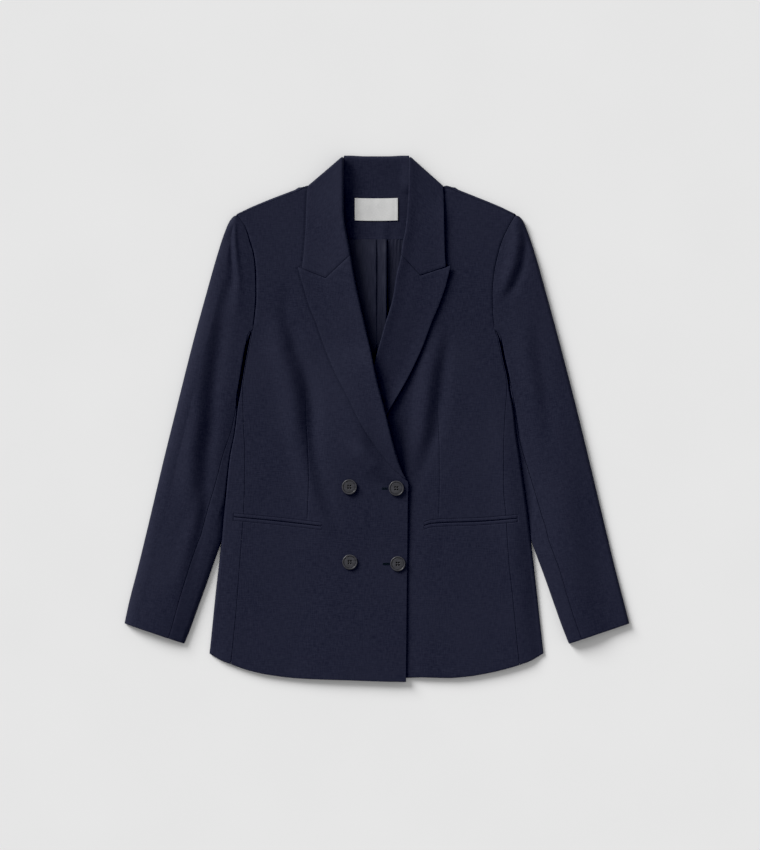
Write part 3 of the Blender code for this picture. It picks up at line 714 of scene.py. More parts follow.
    def turned_edge(self, side: Side, y: Array) -> Array:
        """x of the outer edge of what is turned back on the front: the collar's leg, then the lapel."""
        return np.where(y > self.gorge_foot, self.collar_edge.at(side, y), self.lapel_edge.at(side, y))

    def pressed(self, side: Side, x: Array, y: Array) -> Array:
        """Depth to which the front is pressed where collar and lapel lie on it, from just outside their edge.

        Args:
            side: side of the garment.
            x: across it.
            y: along it.

        Returns:
            The depth at each place.
        """
        inside = side.outward * (self.turned_edge(side, y) - x)
        under = soft_step((inside + self.press_reach) / self.press_reach)
        under = under * (1 - soft_step((inside - self.press_under) / self.press_fade))
        return self.press * under * soft_step((y - self.press_foot) / self.press_ramp)

    def gorge_y(self, side: Side, x: Array) -> Array:
        """y of the line where collar and lapel meet: the gorge seam to the notch, then on to the peak.

        Args:
            side: side of the garment.
            x: across it.

        Returns:
            The line's y at each place.
        """
        sign = side.outward
        notch_x, notch_y = self.notch.of(side)
        peak_x, peak_y = self.peak.of(side)
        gorge_x = float(self.inner_line.at(side, self.gorge_top)) + sign * self.gorge_start
        inside = sign * x < sign * notch_x
        end_x, end_y = np.where(inside, gorge_x, peak_x), np.where(inside, self.gorge_top, peak_y)
        return notch_y + (x - notch_x) / (end_x - notch_x) * (end_y - notch_y)

    def recess(self, side: Side, x: Array, y: Array) -> Array:
        """Depth of the pocket's window: even inside it, with steep walls.

        Args:
            side: side of the garment.
            x: across it.
            y: nominal rows.

        Returns:
            The depth at each place.
        """
        ends = sorted(self.pocket_ends.of(side))
        lip = self.pocket_end_wall
        across = soft_step((self.pocket_half + lip - np.abs(y - self.pocket_level)) / self.pocket_wall)
        along = soft_step((x - ends[0] + lip) / (2 * lip)) * soft_step((ends[1] + lip - x) / (2 * lip))
        return self.pocket_depth * across * along

    def rows(self, low: float, high: float, step: float = 3.0) -> Array:
        """Nominal rows from high to low, closer beside the pocket's mouth and its edges.

        Args:
            low: last row.
            high: first row.
            step: even step elsewhere.

        Returns:
            The rows' y.
        """
        beside = np.array(self.mouth_rows)
        near = self.pocket_level + np.concatenate([-beside, [0.0], beside])
        even = np.linspace(high, low, round((high - low) / step) + 1)
        clear = even[np.abs(even - self.pocket_level) > self.mouth_clear]
        inside = near[(near > low) & (near < high)]
        return np.sort(np.concatenate([clear, inside]))[::-1]


FORM = BodyForm()


# ---- finishes
class Graph:
    """A material's node tree, with a Principled shader to dress."""

    def __init__(self, name: str) -> None:
        """Start a material.

        Args:
            name: its name.
        """
        self.material = bpy.data.materials.new(name)
        self.material.use_nodes = True
        self.tree = self.material.node_tree
        self.shader = self.tree.nodes["Principled BSDF"]

    def node(self, kind: str, settings: dict[str, object] | None = None,
             **inputs: object) -> bpy.types.Node:
        """Add a node.

        Args:
            kind: Blender's name of the node type.
            settings: properties of the node.
            inputs: values of its sockets, or sockets to link to them, by name with _ for a space.

        Returns:
            The node.
        """
        made = self.tree.nodes.new(kind)
        for key, value in (settings or {}).items():
            setattr(made, key, value)
        for key, value in inputs.items():
            self.feed(made.inputs[key.replace("_", " ")], value)
        return made

    def feed(self, socket: Socket, value: object) -> None:
        """Link a socket to another, or set its value.

        Args:
            socket: the socket to feed.
            value: another socket or a value.
        """
        if isinstance(value, Socket):
            self.tree.links.new(value, socket)
        else:
            socket.default_value = value

    def weave(self) -> Socket:
        """The piece's own cloth coordinates, in metres along weft and warp."""
        return self.node("ShaderNodeUVMap", {"uv_map": WEAVE_MAP}).outputs[0]

    def place(self) -> Socket:
        """Object coordinates, in metres."""
        return self.node("ShaderNodeTexCoord").outputs["Object"]

    def parts(self, vector: Socket) -> bpy.types.NodeOutputs:
        """The three parts of a vector."""
        return self.node("ShaderNodeSeparateXYZ", Vector=vector).outputs

    def math(self, operation: str, first: object, second: object = 0.0) -> Socket:
        """Result of one operation on two numbers.

        Args:
            operation: Blender's name of it.
            first: a number or a socket.
            second: another.

        Returns:
            The socket of the result.
        """
        made = self.node("ShaderNodeMath", {"operation": operation})
        self.feed(made.inputs[0], first)
        self.feed(made.inputs[1], second)
        return made.outputs[0]

    def scaled(self, vector: Socket, scale: tuple[float, float, float]) -> Socket:
        """A vector times a scale for each axis."""
        return self.node("ShaderNodeMapping", Vector=vector, Scale=scale).outputs[0]

    def noise(self, vector: Socket, scale: float, detail: float = 2.0) -> Socket:
        """Noise between about 0.3 and 0.7, with that many patches to a unit."""
        return self.node("ShaderNodeTexNoise", Vector=vector, Scale=scale, Detail=detail).outputs["Fac"]

    def spread(self, value: Socket, low: float, high: float,
               to_low: float = 0.0, to_high: float = 1.0) -> Socket:
        """A value's range stretched to another and held inside it.

        Args:
            value: the value's socket.
            low: its low end.
            high: its high end.
            to_low: what the low end becomes.
            to_high: what the high end becomes.

        Returns:
            The socket of the result.
        """
        made = self.node("ShaderNodeMapRange", Value=value, From_Min=low, From_Max=high,
                         To_Min=to_low, To_Max=to_high)
        return made.outputs["Result"]

    def blend(self, share: object, first: object, second: object) -> Socket:
        """Mix of two colours.

        Args:
            share: share of the second.
            first: a colour or its socket.
            second: another.

        Returns:
            The socket of the result.
        """
        made = self.node("ShaderNodeMix", {"data_type": "RGBA"})
        self.feed(made.inputs["Factor"], share)
        self.feed(made.inputs[6], first)
        self.feed(made.inputs[7], second)
        return made.outputs[2]

    def finish(self, color: object, roughness: object, height: Socket | None,
               depth: float = 0.0, strength: float = 1.0, **constants: object) -> Material:
        """Feed the shader.

        Args:
            color: base colour, or its socket.
            roughness: roughness, or its socket.
            height: height of the fine relief, from 0 to 1.
            depth: depth of that relief, in metres.
            strength: strength of the bump.
            constants: values of the shader's own sockets, by name with _ for a space.

        Returns:
            The material.
        """
        self.feed(self.shader.inputs["Base Color"], color)
        self.feed(self.shader.inputs["Roughness"], roughness)
        for key, value in constants.items():
            self.shader.inputs[key.replace("_", " ")].default_value = value
        if height is not None:
            bump = self.node("ShaderNodeBump", Height=height, Distance=depth, Strength=strength)
            self.feed(self.shader.inputs["Normal"], bump.outputs[0])
        return self.material


def rgba(color: Colour, share: float = 1.0) -> tuple[float, float, float, float]:
    """A share of a colour, with full cover."""
    return (*(share * part for part in color), 1.0)


@dataclass(frozen=True)
class Suiting:
    """Navy twill: fine diagonal ribs, mottled by warp and weft threads of slightly different tone."""

    name: str
    dark: Colour
    light: Colour
    rib: float = 0.0009        # from rib to rib, in metres
    thread: float = 0.0014     # width of the streaks along warp and weft
    streak: float = 0.009      # length of those streaks
    patch: float = 0.11        # width of the slow changes of tone
    rise: float = 0.15         # height of the ribs as a share of the streaks'
    relief: float = 0.00007
    roughness: tuple[float, float] = (0.72, 0.86)
    sheen: float = 0.05

    def make(self) -> Material:
        """The material: streaks and slow patches in colour, ribs and streaks in relief.

        Returns:
            The material.
        """
        g = Graph(self.name)
        weave = g.weave()
        warp = g.noise(g.scaled(weave, (1 / self.thread, 1 / self.streak, 1)), 1.0)
        weft = g.noise(g.scaled(weave, (1 / self.streak, 1 / self.thread, 1)), 1.0)
        grain = g.noise(weave, 1 / (1.2 * self.thread), 1.0)
        slow = g.noise(weave, 1 / self.patch, 1.5)
        streaks = g.math("ADD", g.math("MULTIPLY", g.math("ADD", warp, weft), 0.43), g.math("MULTIPLY", grain, 0.14))
        tone = g.spread(streaks, 0.365, 0.635)
        color = g.blend(tone, rgba(self.dark), rgba(self.light))
        color = g.blend(g.spread(slow, 0.35, 0.65, 0.0, 0.35), color, rgba(self.light, 0.9))
        u, v, _ = g.parts(weave)
        slant = g.math("ADD", u, v)
        ribs = g.math("SINE", g.math("MULTIPLY", slant, 2 * math.pi / self.rib))
        height = g.math("ADD", g.math("MULTIPLY", ribs, self.rise), tone)
        rough = g.spread(tone, 0.0, 1.0, *self.roughness)
        return g.finish(color, rough, height, self.relief, 0.55, Sheen_Weight=self.sheen, Sheen_Roughness=0.45,
                        Sheen_Tint=rgba((0.62, 0.66, 0.85)), Specular_IOR_Level=0.12)


@dataclass(frozen=True)
class LiningTwill:
    """Dark lining: smooth fine twill with a soft shine and faint lengthwise streaks."""

    name: str = "lining_twill"
    dark: Colour = (0.0105, 0.0116, 0.0230)
    light: Colour = (0.0164, 0.0178, 0.0330)
    thread: float = 0.0012
    streak: float = 0.02
    rib: float = 0.0006
    slope: float = 1.6         # of the ribs
    rise: float = 0.1
    relief: float = 0.00003
    roughness: tuple[float, float] = (0.46, 0.58)

    def make(self) -> Material:
        """The material: lengthwise streaks in colour and roughness, fine ribs in relief.

        Returns:
            The material.
        """
        g = Graph(self.name)
        weave = g.weave()
        streaks = g.noise(g.scaled(weave, (1 / self.thread, 1 / self.streak, 1)), 1.0)
        tone = g.spread(streaks, 0.35, 0.65)
        u, v, _ = g.parts(weave)
        slant = g.math("ADD", u, g.math("MULTIPLY", v, self.slope))
        ribs = g.math("SINE", g.math("MULTIPLY", slant, 2 * math.pi / self.rib))
        height = g.math("ADD", g.math("MULTIPLY", ribs, self.rise), tone)
        color = g.blend(tone, rgba(self.dark), rgba(self.light))
        return g.finish(color, g.spread(tone, 0, 1, *self.roughness), height, self.relief, 0.4, Sheen_Weight=0.03,
                        Specular_IOR_Level=0.14)


@dataclass(frozen=True)
class LabelSatin:
    """Off-white woven satin: shining floats across."""

    name: str = "label_satin"
    face: Colour = (0.62, 0.62, 0.615)
    shade: Colour = (0.52, 0.52, 0.52)
    float_size: tuple[float, float] = (0.003, 0.0004)
    cloud: float = 0.02
    relief: float = 0.00003
    roughness: tuple[float, float] = (0.42, 0.52)

    def make(self) -> Material:
        """The material: fine crosswise floats in colour and relief.

        Returns:
            The material.
        """
        g = Graph(self.name)
        weave = g.weave()
        floats = g.noise(g.scaled(weave, (1 / self.float_size[0], 1 / self.float_size[1], 1)), 1.0)
        cloudy = g.noise(weave, 1 / self.cloud, 1.0)
        tone = g.spread(g.math("ADD", g.math("MULTIPLY", floats, 0.6), g.math("MULTIPLY", cloudy, 0.4)), 0.38, 0.62)
        color = g.blend(tone, rgba(self.shade), rgba(self.face))
        return g.finish(color, g.spread(tone, 0, 1, *self.roughness), tone, self.relief, 0.4, Specular_IOR_Level=0.45,
                        Sheen_Weight=0.05)


@dataclass(frozen=True)
class Horn:
    """Charcoal horn: cloudy streaks and fine turning lines under a dull polish, and painted shade in the holes."""

    name: str = "charcoal_horn"
    dark: Colour = (0.022, 0.022, 0.027)
    light: Colour = (0.039, 0.039, 0.048)
    # near black painted shade inside the button's holes
    hole: Colour = (0.0015, 0.0015, 0.002)
    clouds: float = 160.0      # to a metre
    lines: float = 900.0
    relief: float = 0.00002
    roughness: tuple[float, float] = (0.34, 0.46)

    def make(self) -> Material:
        """The material: streaks on the button's own place, painted shade in the holes, scratches in roughness.

        Returns:
            The material.
        """
        g = Graph(self.name)
        place = g.place()
        cloudy = g.noise(g.scaled(place, (1.0, 2.6, 1.0)), self.clouds, 4.0)
        scratches = g.noise(g.scaled(place, (1.0, 6.0, 1.0)), self.lines, 2.0)
        color = g.blend(g.spread(cloudy, 0.36, 0.66), rgba(self.dark), rgba(self.light))
        # painted shade: the holes, marked 1 in the map, are blended to near black
        color = g.blend(g.parts(g.weave())[0], color, rgba(self.hole))
        rough = g.spread(scratches, 0.35, 0.65, *self.roughness)
        return g.finish(color, rough, scratches, self.relief, 0.25, Specular_IOR_Level=0.5, Coat_Weight=0.1,
                        Coat_Roughness=0.25)


@dataclass(frozen=True)
class Thread:
    """Twisted sewing thread."""

    name: str
    color: Colour
    shade: float = 0.7         # share of the colour between the twists
    twists: float = 2500.0     # to a metre
    roughness: tuple[float, float] = (0.5, 0.65)
    relief: float = 0.00005    # in metres

    def make(self) -> Material:
        """The material: a fine twist in tone and relief.

        Returns:
            The material.
        """
        g = Graph(self.name)
        tone = g.spread(g.noise(g.place(), self.twists, 1.0), 0.35, 0.65)
        color = g.blend(tone, rgba(self.color, self.shade), rgba(self.color))
        return g.finish(color, g.spread(tone, 0, 1, *self.roughness), tone, self.relief, 0.5, Specular_IOR_Level=0.08)


# ---- body
@dataclass(frozen=True)
class FrontHalf:
    """One half of the front: its panel with the dart, the side panel and the jetted pocket."""

    side: Side
    form: BodyForm = FORM
    beside: tuple[float, ...] = (0.35, 0.8, 1.5, 2.8)
    columns: tuple[int, ...] = (28, 24, 24)
    top: float = 315.4
    roll_foot: float = -83.0       # y below which nothing is turned back on the front
    third_y: float = -100.0        # where the third ruled line leaves the pocket's end for the lapel's edge
    third_ramp: float = 42.0
    third_out: float = 0.4
    third_least: float = 3.0
    dart_spread: float = 0.55
    side_panel_top: float = 121.0
    beneath_low: float = 60.0      # y from which the cloth beneath narrows
    beneath_high: float = 117.0    # y where it is narrowest
    beneath_least: float = 12.0
    beneath_more: float = 16.0
    most_wide: float = 0.85        # largest share of the panel that its round takes
    upper_round: int = 6           # columns of the round that the pocket's window may reach
    side_wide: Pair = pair((122, 1.2, 1.2), (-30, 1.6, 2.6), (-90, 2.4, 3.6), (-170, 4.5, 4.6), (-325, 4, 5))
    jet_cloth: float = 0.45
    jet_steps: int = 60
    jet_profile: tuple[tuple[float, float], ...] = (
        (5.25, -0.85), (5.1, -0.5), (4.8, -0.25), (4.3, -0.12), (3.2, 0.0), (2.0, 0.02), (1.2, -0.08), (0.72, -0.3),
        (0.5, -0.62), (0.6, -0.95), (1.2, -1.12), (2.8, -1.15), (4.4, -1.15), (5.4, -1.15))
    jet_short: float = 0.35        # from the window's end to the jet's
    jet_sink: float = 0.05
    gape: float = 0.28             # opening of the mouth beside the jet's fold
    gape_from: float = 0.6
    gape_spread: float = 1.4

    def panel(self) -> Wall:
        """Front panel: columns run through the dart and the pocket's end, rows follow the pocket and the hem.

        The surface is the form's height, less the dart's groove
        depth * exp(-(distance / spread)^2) and the pocket's window.

        Returns:
            The wall of the panel.
        """
        form, side = self.form, self.side
        sign = side.outward
        y = form.rows(form.hem_row + form.hem_inset, self.top)[:, None]
        outer = form.seam(side, y) - sign * form.inset()
        inner = form.inner_line.at(side, y) + sign * (form.retreat.at(y) + form.cloth / 2 * (y < self.roll_foot))
        dart = form.darts.at(side, y)
        end = form.pocket_ends.of(side)[1]
        upper = soft_step((y - self.third_y) / self.third_ramp)
        third = upper * (form.turned_edge(side, y) + sign * self.third_out) + (1 - upper) * end
        third = np.where(sign * (inner - third) < -self.third_least, third, inner + sign * self.third_least)
        x = ruled((outer, dart, third, inner), self.columns, self.beside)
        groove = form.dart_depth.at(side, y) * bump(x - dart, self.dart_spread)
        z = form.height(side, x, y) - groove - form.recess(side, x, y) - form.pressed(side, x, y)
        points = stack(x, form.hang(side, x, y), z)
        return plain_wall(points, form.cloth)

    def side_panel(self) -> Wall:
        """Side panel: flat beneath, round the fold as two quarter ellipses, then on the form to the seam.

        Returns:
            The wall of the panel.
        """
        form, side = self.form, self.side
        sign = side.outward
        y = form.rows(form.hem_row + form.hem_inset, self.side_panel_top)[:, None]
        fold = form.side_fold.at(side, y) - sign * form.cloth / 2
        back_seam = form.side_fold.at(side, y) - sign * form.flap + sign * form.inset()
        below = soft_step((self.beneath_high - y) / (self.beneath_high - self.beneath_low))
        narrow = fold - sign * (self.beneath_least + self.beneath_more * below)
        back_seam = np.where(y > self.beneath_low, narrow, back_seam)
        seam = form.outer_seam.at(side, y) + sign * form.inset()
        wide = np.minimum(self.side_wide.at(side, y), self.most_wide * np.abs(fold - seam))
        top = form.height(side, fold - sign * wide, y)
        base = form.base
        tuck = form.tuck
        under = row(0, 1, 9)[:, :-1]
        low = angles(-90, 0, 7)
        high = angles(0, 90, 12)[:, 1:]
        centre = fold - sign * tuck
        end = fold - sign * wide
        x_under = back_seam + (centre - back_seam) * under
        x_low = centre + sign * tuck * np.cos(low)
        x_high = end + sign * wide * np.cos(high)
        x_top = ruled((end, seam), (9,), self.beside)[:, 1:]
        x = join(x_under, x_low, x_high, x_top)
        z = join(base + 0 * x_under, base + tuck * (1 + np.sin(low)) + 0 * x_low,
                 base + tuck + (top - base - tuck) * np.sin(high), form.height(side, x_top, y))
        upper = np.arange(x.shape[1]) > x.shape[1] - x_top.shape[1] - self.upper_round
        z = z - form.recess(side, x, y) * upper
        points = stack(x, form.hang(side, x, y), z)
        run = across_lengths(points)
        u = (run - run[:, -1:]) * -sign + form.outer_seam.at(side, y)
        return Wall(points, np.stack([u, points[..., 1]], axis=2), form.cloth)

    def jet(self, upper: bool) -> Wall:
        """One jet of the pocket: a folded strip, from its seam over the fold at the mouth and back beneath.

        Args:
            upper: whether it is the one above the mouth.

        Returns:
            The wall of the jet.
        """
        form, side = self.form, self.side
        away, level = (part[None, :] for part in np.transpose(self.jet_profile))
        sign = 1.0 if upper else -1.0
        ends = sorted(form.pocket_ends.of(side))
        share = column(0, 1, self.jet_steps)
        x = ends[0] + self.jet_short + (ends[1] - ends[0] - 2 * self.jet_short) * share + 0 * away
        gape = self.gape * np.sin(np.pi * share) ** 0.7 * bump(away - self.gape_from, self.gape_spread)
        nominal = form.pocket_level + sign * (away + gape)
        z = form.height(side, x, nominal) + form.cloth / 2 + level - self.jet_sink
        points = stack(x, form.hang(side, x, nominal), z)
        if (side.outward < 0) == upper:
            points = points[::-1]
        run = across_lengths(points)
        return Wall(points, np.stack([points[..., 0], sign * run + 40.0], axis=2), self.jet_cloth)

    def dress(self, suiting: Material) -> None:
        """Make the panel, the side panel and the pocket's jets.

        Args:
            suiting: the cloth's material.
        """
        name = self.side.value
        lay_cloth("suit_front_" + name, self.panel(), suiting, ["front_" + name])
        lay_cloth("suit_side_" + name, self.side_panel(), suiting, ["side_panel_" + name])
        for upper, word in ((True, "upper"), (False, "lower")):
            lay_cloth("pocket_jet_%s_%s" % (word, name), self.jet(upper), suiting, ["welt_%s_%s" % (word, name)])


@dataclass(frozen=True)
class Sleeve:
    """One sleeve: a flattened tube in two parts, from the armhole to the cuff."""

    side: Side
    form: BodyForm = FORM
    level: float = 7.2
    head_top: float = 278.0
    under_top: float = 121.0
    cuff: float = -282.4
    row_step: float = 3.0
    armpit_ramp: float = 8.0
    seam_gap: float = 0.3        # from the body's side to the sleeve above the place where they part
    part_ramp: float = 12.0
    round_y: float = -100.0      # y from which the inner fold turns from a hollow to a round
    round_ramp: float = 50.0
    hollow: float = 0.4          # share of the lip that lies low in the hollow
    weave_turn: float = 14.0
    weave_start: float = 500.0   # shift that keeps the sleeve's threads apart from the body's
    most_round: float = 0.6      # largest share of a row that the outer fold's round takes
    most_tuck: float = 0.3       # and its small round beneath
    beside: tuple[float, ...] = (0.5, 1.2, 2.2, 3.6)
    least_rest: float = 0.1
    crown: Pair = pair((281, 1, 1), (200, 1.5, 1.3), (120, 2.1, 1.7), (0, 3.1, 2.3), (-283, 4.2, 3.2))
    outer_fold: Pair = pair(
        (281, -194.7, 192.8), (273, -202.5, 200.6), (257, -209.9, 207.6), (224, -220.7, 218.7), (174, -234.9, 232.8),
        (108, -253, 250.7), (25, -273.9, 272.3), (-58, -294.5, 292.6), (-141, -314.1, 312.4), (-207, -330.1, 328.3),
        (-257, -342.9, 341.3), (-283, -348.4, 348))
    inner_fold: Pair = pair(
        (122, -171.8, 162.4), (111, -176.6, 169.2), (98, -179.6, 172), (83, -182.6, 175.6), (57, -187.2, 181.6),
        (29, -192.2, 187), (-22, -199, 193.6), (-52, -204.6, 198.6), (-110, -209.3, 204.6), (-145, -212, 208.6),
        (-165, -213.8, 211.6), (-171, -215, 213.3), (-190, -221.6, 220.1), (-209, -228.2, 227.2), (-223, -233, 232.3),
        (-257, -245.4, 244.2), (-290, -257.3, 256), (-311, -265.8, 264.4))
    parts_at: float = -150.0
    outer_round: Pair = pair((281, 6, 5), (240, 12, 5), (190, 18, 5), (-283, 20, 5))
    gap_lip: Pair = pair(
        (122, 0.6, 0.6), (112, 2.6, 1.6), (95, 4.9, 4.3), (70, 4.9, 4.5), (56, 4.6, 3.6), (46, 4.4, 2.6),
        (36, 4, 1.6), (18, 1.6, 3), (5, 0.4, 5), (-20, 0.4, 8.5), (-50, 0.4, 11), (-75, 0.6, 12.5), (-95, 0.7, 14),
        (-118, 1.2, 16), (-132, 6, 15), (-150, 9, 9), (-171, 9.5, 1.2), (-190, 8.5, 1), (-230, 7, 1), (-283, 6, 1))
    gap_level: Pair = pair(
        (122, 0, 0), (95, 0.8, -1), (45, 0.4, -1.8), (15, -0.8, -2.8), (-20, -1.6, -3.5), (-60, -1.7, -4.2),
        (-95, -1.6, -4.6), (-130, -0.8, -4.6), (-165, -0.6, -3.8), (-190, -0.8, -1.8), (-230, -1, -0.8),
        (-283, -1, -0.4))
    gap_spread: Pair = pair((122, 12, 24), (40, 12, 34), (-95, 16, 40), (-283, 18, 34))
    drop: Line = line(
        (276, 0), (36, 0), (8, 0.6), (-52, 3), (-112, 6), (-142, 9), (-172, 13), (-202, 18), (-230, 22), (-283, 28))
    forearm: Pair = pair(
        (122, 2, 2), (112, 4.2, 3.4), (36, 4.2, 3.4), (13, 2.4, 3.4), (-8, 4, 3.6), (-28, 7, 4.2), (-39, 8.6, 5.2),
        (-83, 15, 12.1), (-125, 23.5, 19), (-152, 28.8, 23.6), (-164, 31, 23.6), (-190, 30.5, 23.3),
        (-230, 28.2, 20.8), (-283, 23, 18.8))
    elbow: Line = line((111, 46), (36, 40), (-52, 34), (-142, 29), (-283, 24))
    creases: tuple[tuple[Side, Crease], ...] = (
        (Side.RIGHT, Fall(((-210, 195, 0.2, 9), (-217, 163, 1.3, 10), (-223.5, 121, 2.6, 11), (-229, 80, 3.1, 11),
            (-234.7, 39, 3.5, 11), (-237, -3, 3.8, 11), (-243, -44, 3.8, 11), (-245, -85, 3, 11),
            (-246, -118, 1.4, 10), (-247, -140, 0.1, 9)))),
        (Side.RIGHT, Fall(((-237, -100, 0.1, 6), (-240, -127, 1.3, 6), (-250, -168, 1.4, 7), (-262, -215, 0.9, 8),
            (-275, -260, 0.1, 8)))),
        (Side.RIGHT, Fall(((-199, 270, -0.1, 2.6), (-198.6, 262, -1.5, 2.6), (-198, 238, -2.1, 3),
            (-196, 215, -1.8, 3.4), (-194, 190, -1.4, 4.5), (-198, 160, -0.8, 7), (-203, 140, -0.1, 8)))),
        (Side.LEFT, Fall(((197, 275, 0.4, 5), (200, 242, 2.1, 6), (195, 210, 2.6, 6.5), (185, 185, 2.2, 6),
            (174, 165, 0.3, 6)))),
        (Side.LEFT, Fall(((212, 140, 0.2, 10), (215, 93, 1.3, 10), (224, 40, 1.5, 10), (229, 0, 1, 10),
            (236, -60, 0.2, 10)))),
        (Side.LEFT, Fall(((262, -40, 0.2, 24), (275, -120, 1.5, 24), (285, -190, 2.4, 24), (305, -330, 2.2, 24)))))

    def frame_lines(self, top: float) -> tuple[Array, Array, Array]:
        """Both folds of the sleeve, row by row from the head to the cuff.

        Args:
            top: y of the first row's outer end.

        Returns:
            Outer and inner fold point of each row, and the outer ones' y.
        """
        form, side = self.form, self.side
        sign = side.outward
        outer_y = np.linspace(top, self.cuff, round((top - self.cuff) / self.row_step) + 1)
        inner_y = outer_y - self.drop.at(outer_y)
        head = form.outer_seam.at(side, inner_y) + sign * form.inset()
        beside = form.side_fold.at(side, inner_y) - sign * self.seam_gap
        parted = soft_step((self.parts_at - inner_y) / self.part_ramp)
        closed = beside + (self.inner_fold.at(side, inner_y) - beside) * parted
        merge = soft_step((inner_y - form.armpit) / self.armpit_ramp)
        joined = merge * head + (1 - merge) * (head - sign * form.inset())
        inner_x = np.where(inner_y >= form.armpit, joined, closed)
        outer_x = self.outer_fold.at(side, outer_y)
        return np.stack([outer_x, outer_y], 1), np.stack([inner_x, inner_y], 1), outer_y

    def top_height(self, x: Array, y: Array, share: Array) -> Array:
        """Middle of the upper layer's cloth: level, crown, creases and unevenness.

        Args:
            x: across the garment.
            y: along it.
            share: places across the sleeve, 0 at its inner fold and 1 at its outer one.

        Returns:
            The height at each place.
        """
        height = self.level + self.crown.at(self.side, y) * np.sin(np.pi * np.clip(share, 0, 1)) + ripples(x + 300, y)
        for owner, crease in self.creases:
            if owner is self.side:
                height = height + crease.height(x, y)
        fold = np.where(y > self.parts_at, self.form.side_fold.at(self.side, y), self.inner_fold.at(self.side, y))
        spread = self.gap_spread.at(self.side, y)
        return height + self.gap_level.at(self.side, y) * bump(x - fold, spread)

    def rise(self, distance: Array, y: Array) -> Array:
        """Share of the upper layer's height reached at a distance in from the inner fold.

        Beside the body the cloth lies in a hollow before it climbs; lower down it is a round fold,
        sqrt(1 - (1 - s)^2), with s the distance as a share of the lip's width.

        Args:
            distance: distances in from the inner fold.
            y: places along the sleeve.

        Returns:
            The share at each place.
        """
        s = np.clip((distance - self.form.cloth / 2) / self.gap_lip.at(self.side, y), 0, 1)
        hollow = soft_step((s - self.hollow) / (1 - self.hollow))
        share = hollow + (np.sqrt(1 - (1 - s) ** 2) - hollow) * soft_step((self.round_y - y) / self.round_ramp)
        return np.where(y > (self.under_top + self.form.armpit) / 2, 1.0, share)

    def place(self, outer: Array, inner: Array, distance: Array, height: Array | None) -> Array:
        """Points at distances in from the inner fold.

        Args:
            outer: outer fold point of each row.
            inner: inner fold point of each row.
            distance: distances, one row for each row.
            height: heights of those points, or None for the upper layer's own.

        Returns:
            The grid of points.
        """
        run = outer - inner
        length = np.linalg.norm(run, axis=1)[:, None]
        share = distance / length
        x = inner[:, :1] + run[:, :1] * share
        y = inner[:, 1:] + run[:, 1:] * share
        if height is None:
            foot = self.form.base + self.form.tuck
            height = foot + (self.top_height(x, y, share) - foot) * self.rise(distance, inner[:, 1:])
        return stack(x, y, height)

    def top_part(self) -> Wall:
        """Top sleeve: on the form from the forearm seam or armhole, round the outer fold, and back beneath.

        The outer fold is a wide quarter ellipse above and a quarter circle below.

        Returns:
            The wall of the top sleeve.
        """
        form, side = self.form, self.side
        outer, inner, y = self.frame_lines(self.head_top)
        length = np.linalg.norm(outer - inner, axis=1)[:, None] - form.cloth / 2
        head = y[:, None] > self.under_top
        near = np.where(head, 0.0, self.forearm.at(side, y)[:, None] + form.inset())
        wide = np.minimum(self.outer_round.at(side, y)[:, None], self.most_round * (length - near))
        fold = length - wide
        stations = ruled((near, fold), (34,), self.beside)
        top = self.place(outer, inner, stations, None)
        end_height = top[:, -1:, 2]
        high = angles(90, 0, 13)[:, 1:]
        low = angles(0, -90, 7)[:, 1:]
        small = np.minimum(form.tuck, self.most_tuck * length)
        middle = self.form.base + form.tuck
        over = self.place(outer, inner, fold + wide * np.cos(high), middle + (end_height - middle) * np.sin(high))
        below = self.place(outer, inner, length - small + small * np.cos(low), middle + form.tuck * np.sin(low))
        back = np.where(head, 0.0, length - self.elbow.at(y)[:, None] + form.inset())
        share = row(0, 1, 9)[:, 1:]
        start = length - small
        under = self.place(outer, inner, start + (back - start) * share, self.form.base + 0 * (start + share))
        return self.grained(join(top, over, below, under))

    def under_part(self) -> Wall:
        """Under sleeve: beneath from the elbow seam, round the inner fold, and up to the forearm seam.

        Returns:
            The wall of the under sleeve.
        """
        form, side = self.form, self.side
        outer, inner, y = self.frame_lines(self.under_top)
        length = np.linalg.norm(outer - inner, axis=1)[:, None]
        tuck = form.tuck
        rim = form.cloth / 2
        stop = self.forearm.at(side, y)[:, None] - form.inset()
        lower = length - form.cloth / 2 - self.elbow.at(y)[:, None] - form.inset()
        share = row(0, 1, 10)[:, :-1]
        under = self.place(outer, inner, lower + (rim + tuck - lower) * share, self.form.base + 0 * (lower + share))
        turn = angles(-90, 0, 7)
        reach = rim + tuck - tuck * np.cos(turn)
        below = self.place(outer, inner, reach + 0 * lower, self.form.base + tuck * (1 + np.sin(turn)) + 0 * lower)
        lip = np.minimum(self.gap_lip.at(side, y)[:, None], stop - rim - self.least_rest)
        climb, rest = row(0, 1, 15)[:, 1:], row(0, 1, 9)[:, 1:]
        stations = join(rim + lip * climb, rim + lip + (stop - rim - lip) * rest)
        return self.grained(join(under, below, self.place(outer, inner, stations, None)))

    def grained(self, points: Array) -> Wall:
        """A wall whose weave runs along the sleeve.

        Args:
            points: the part's grid.

        Returns:
            The wall.
        """
        run = across_lengths(points)
        turn = math.radians(self.weave_turn)
        v = points[..., 1] * math.cos(turn) + np.abs(points[..., 0]) * math.sin(-turn)
        return Wall(points, np.stack([run + self.weave_start, v], axis=2), self.form.cloth)

    def dress(self, suiting: Material) -> None:
        """Make both parts of the sleeve.

        Args:
            suiting: the cloth's material.
        """
        name = self.side.value
        lay_cloth("suit_top_sleeve_" + name, self.top_part(), suiting, ["top_sleeve_" + name])
        lay_cloth("suit_under_sleeve_" + name, self.under_part(), suiting, ["under_sleeve_" + name])


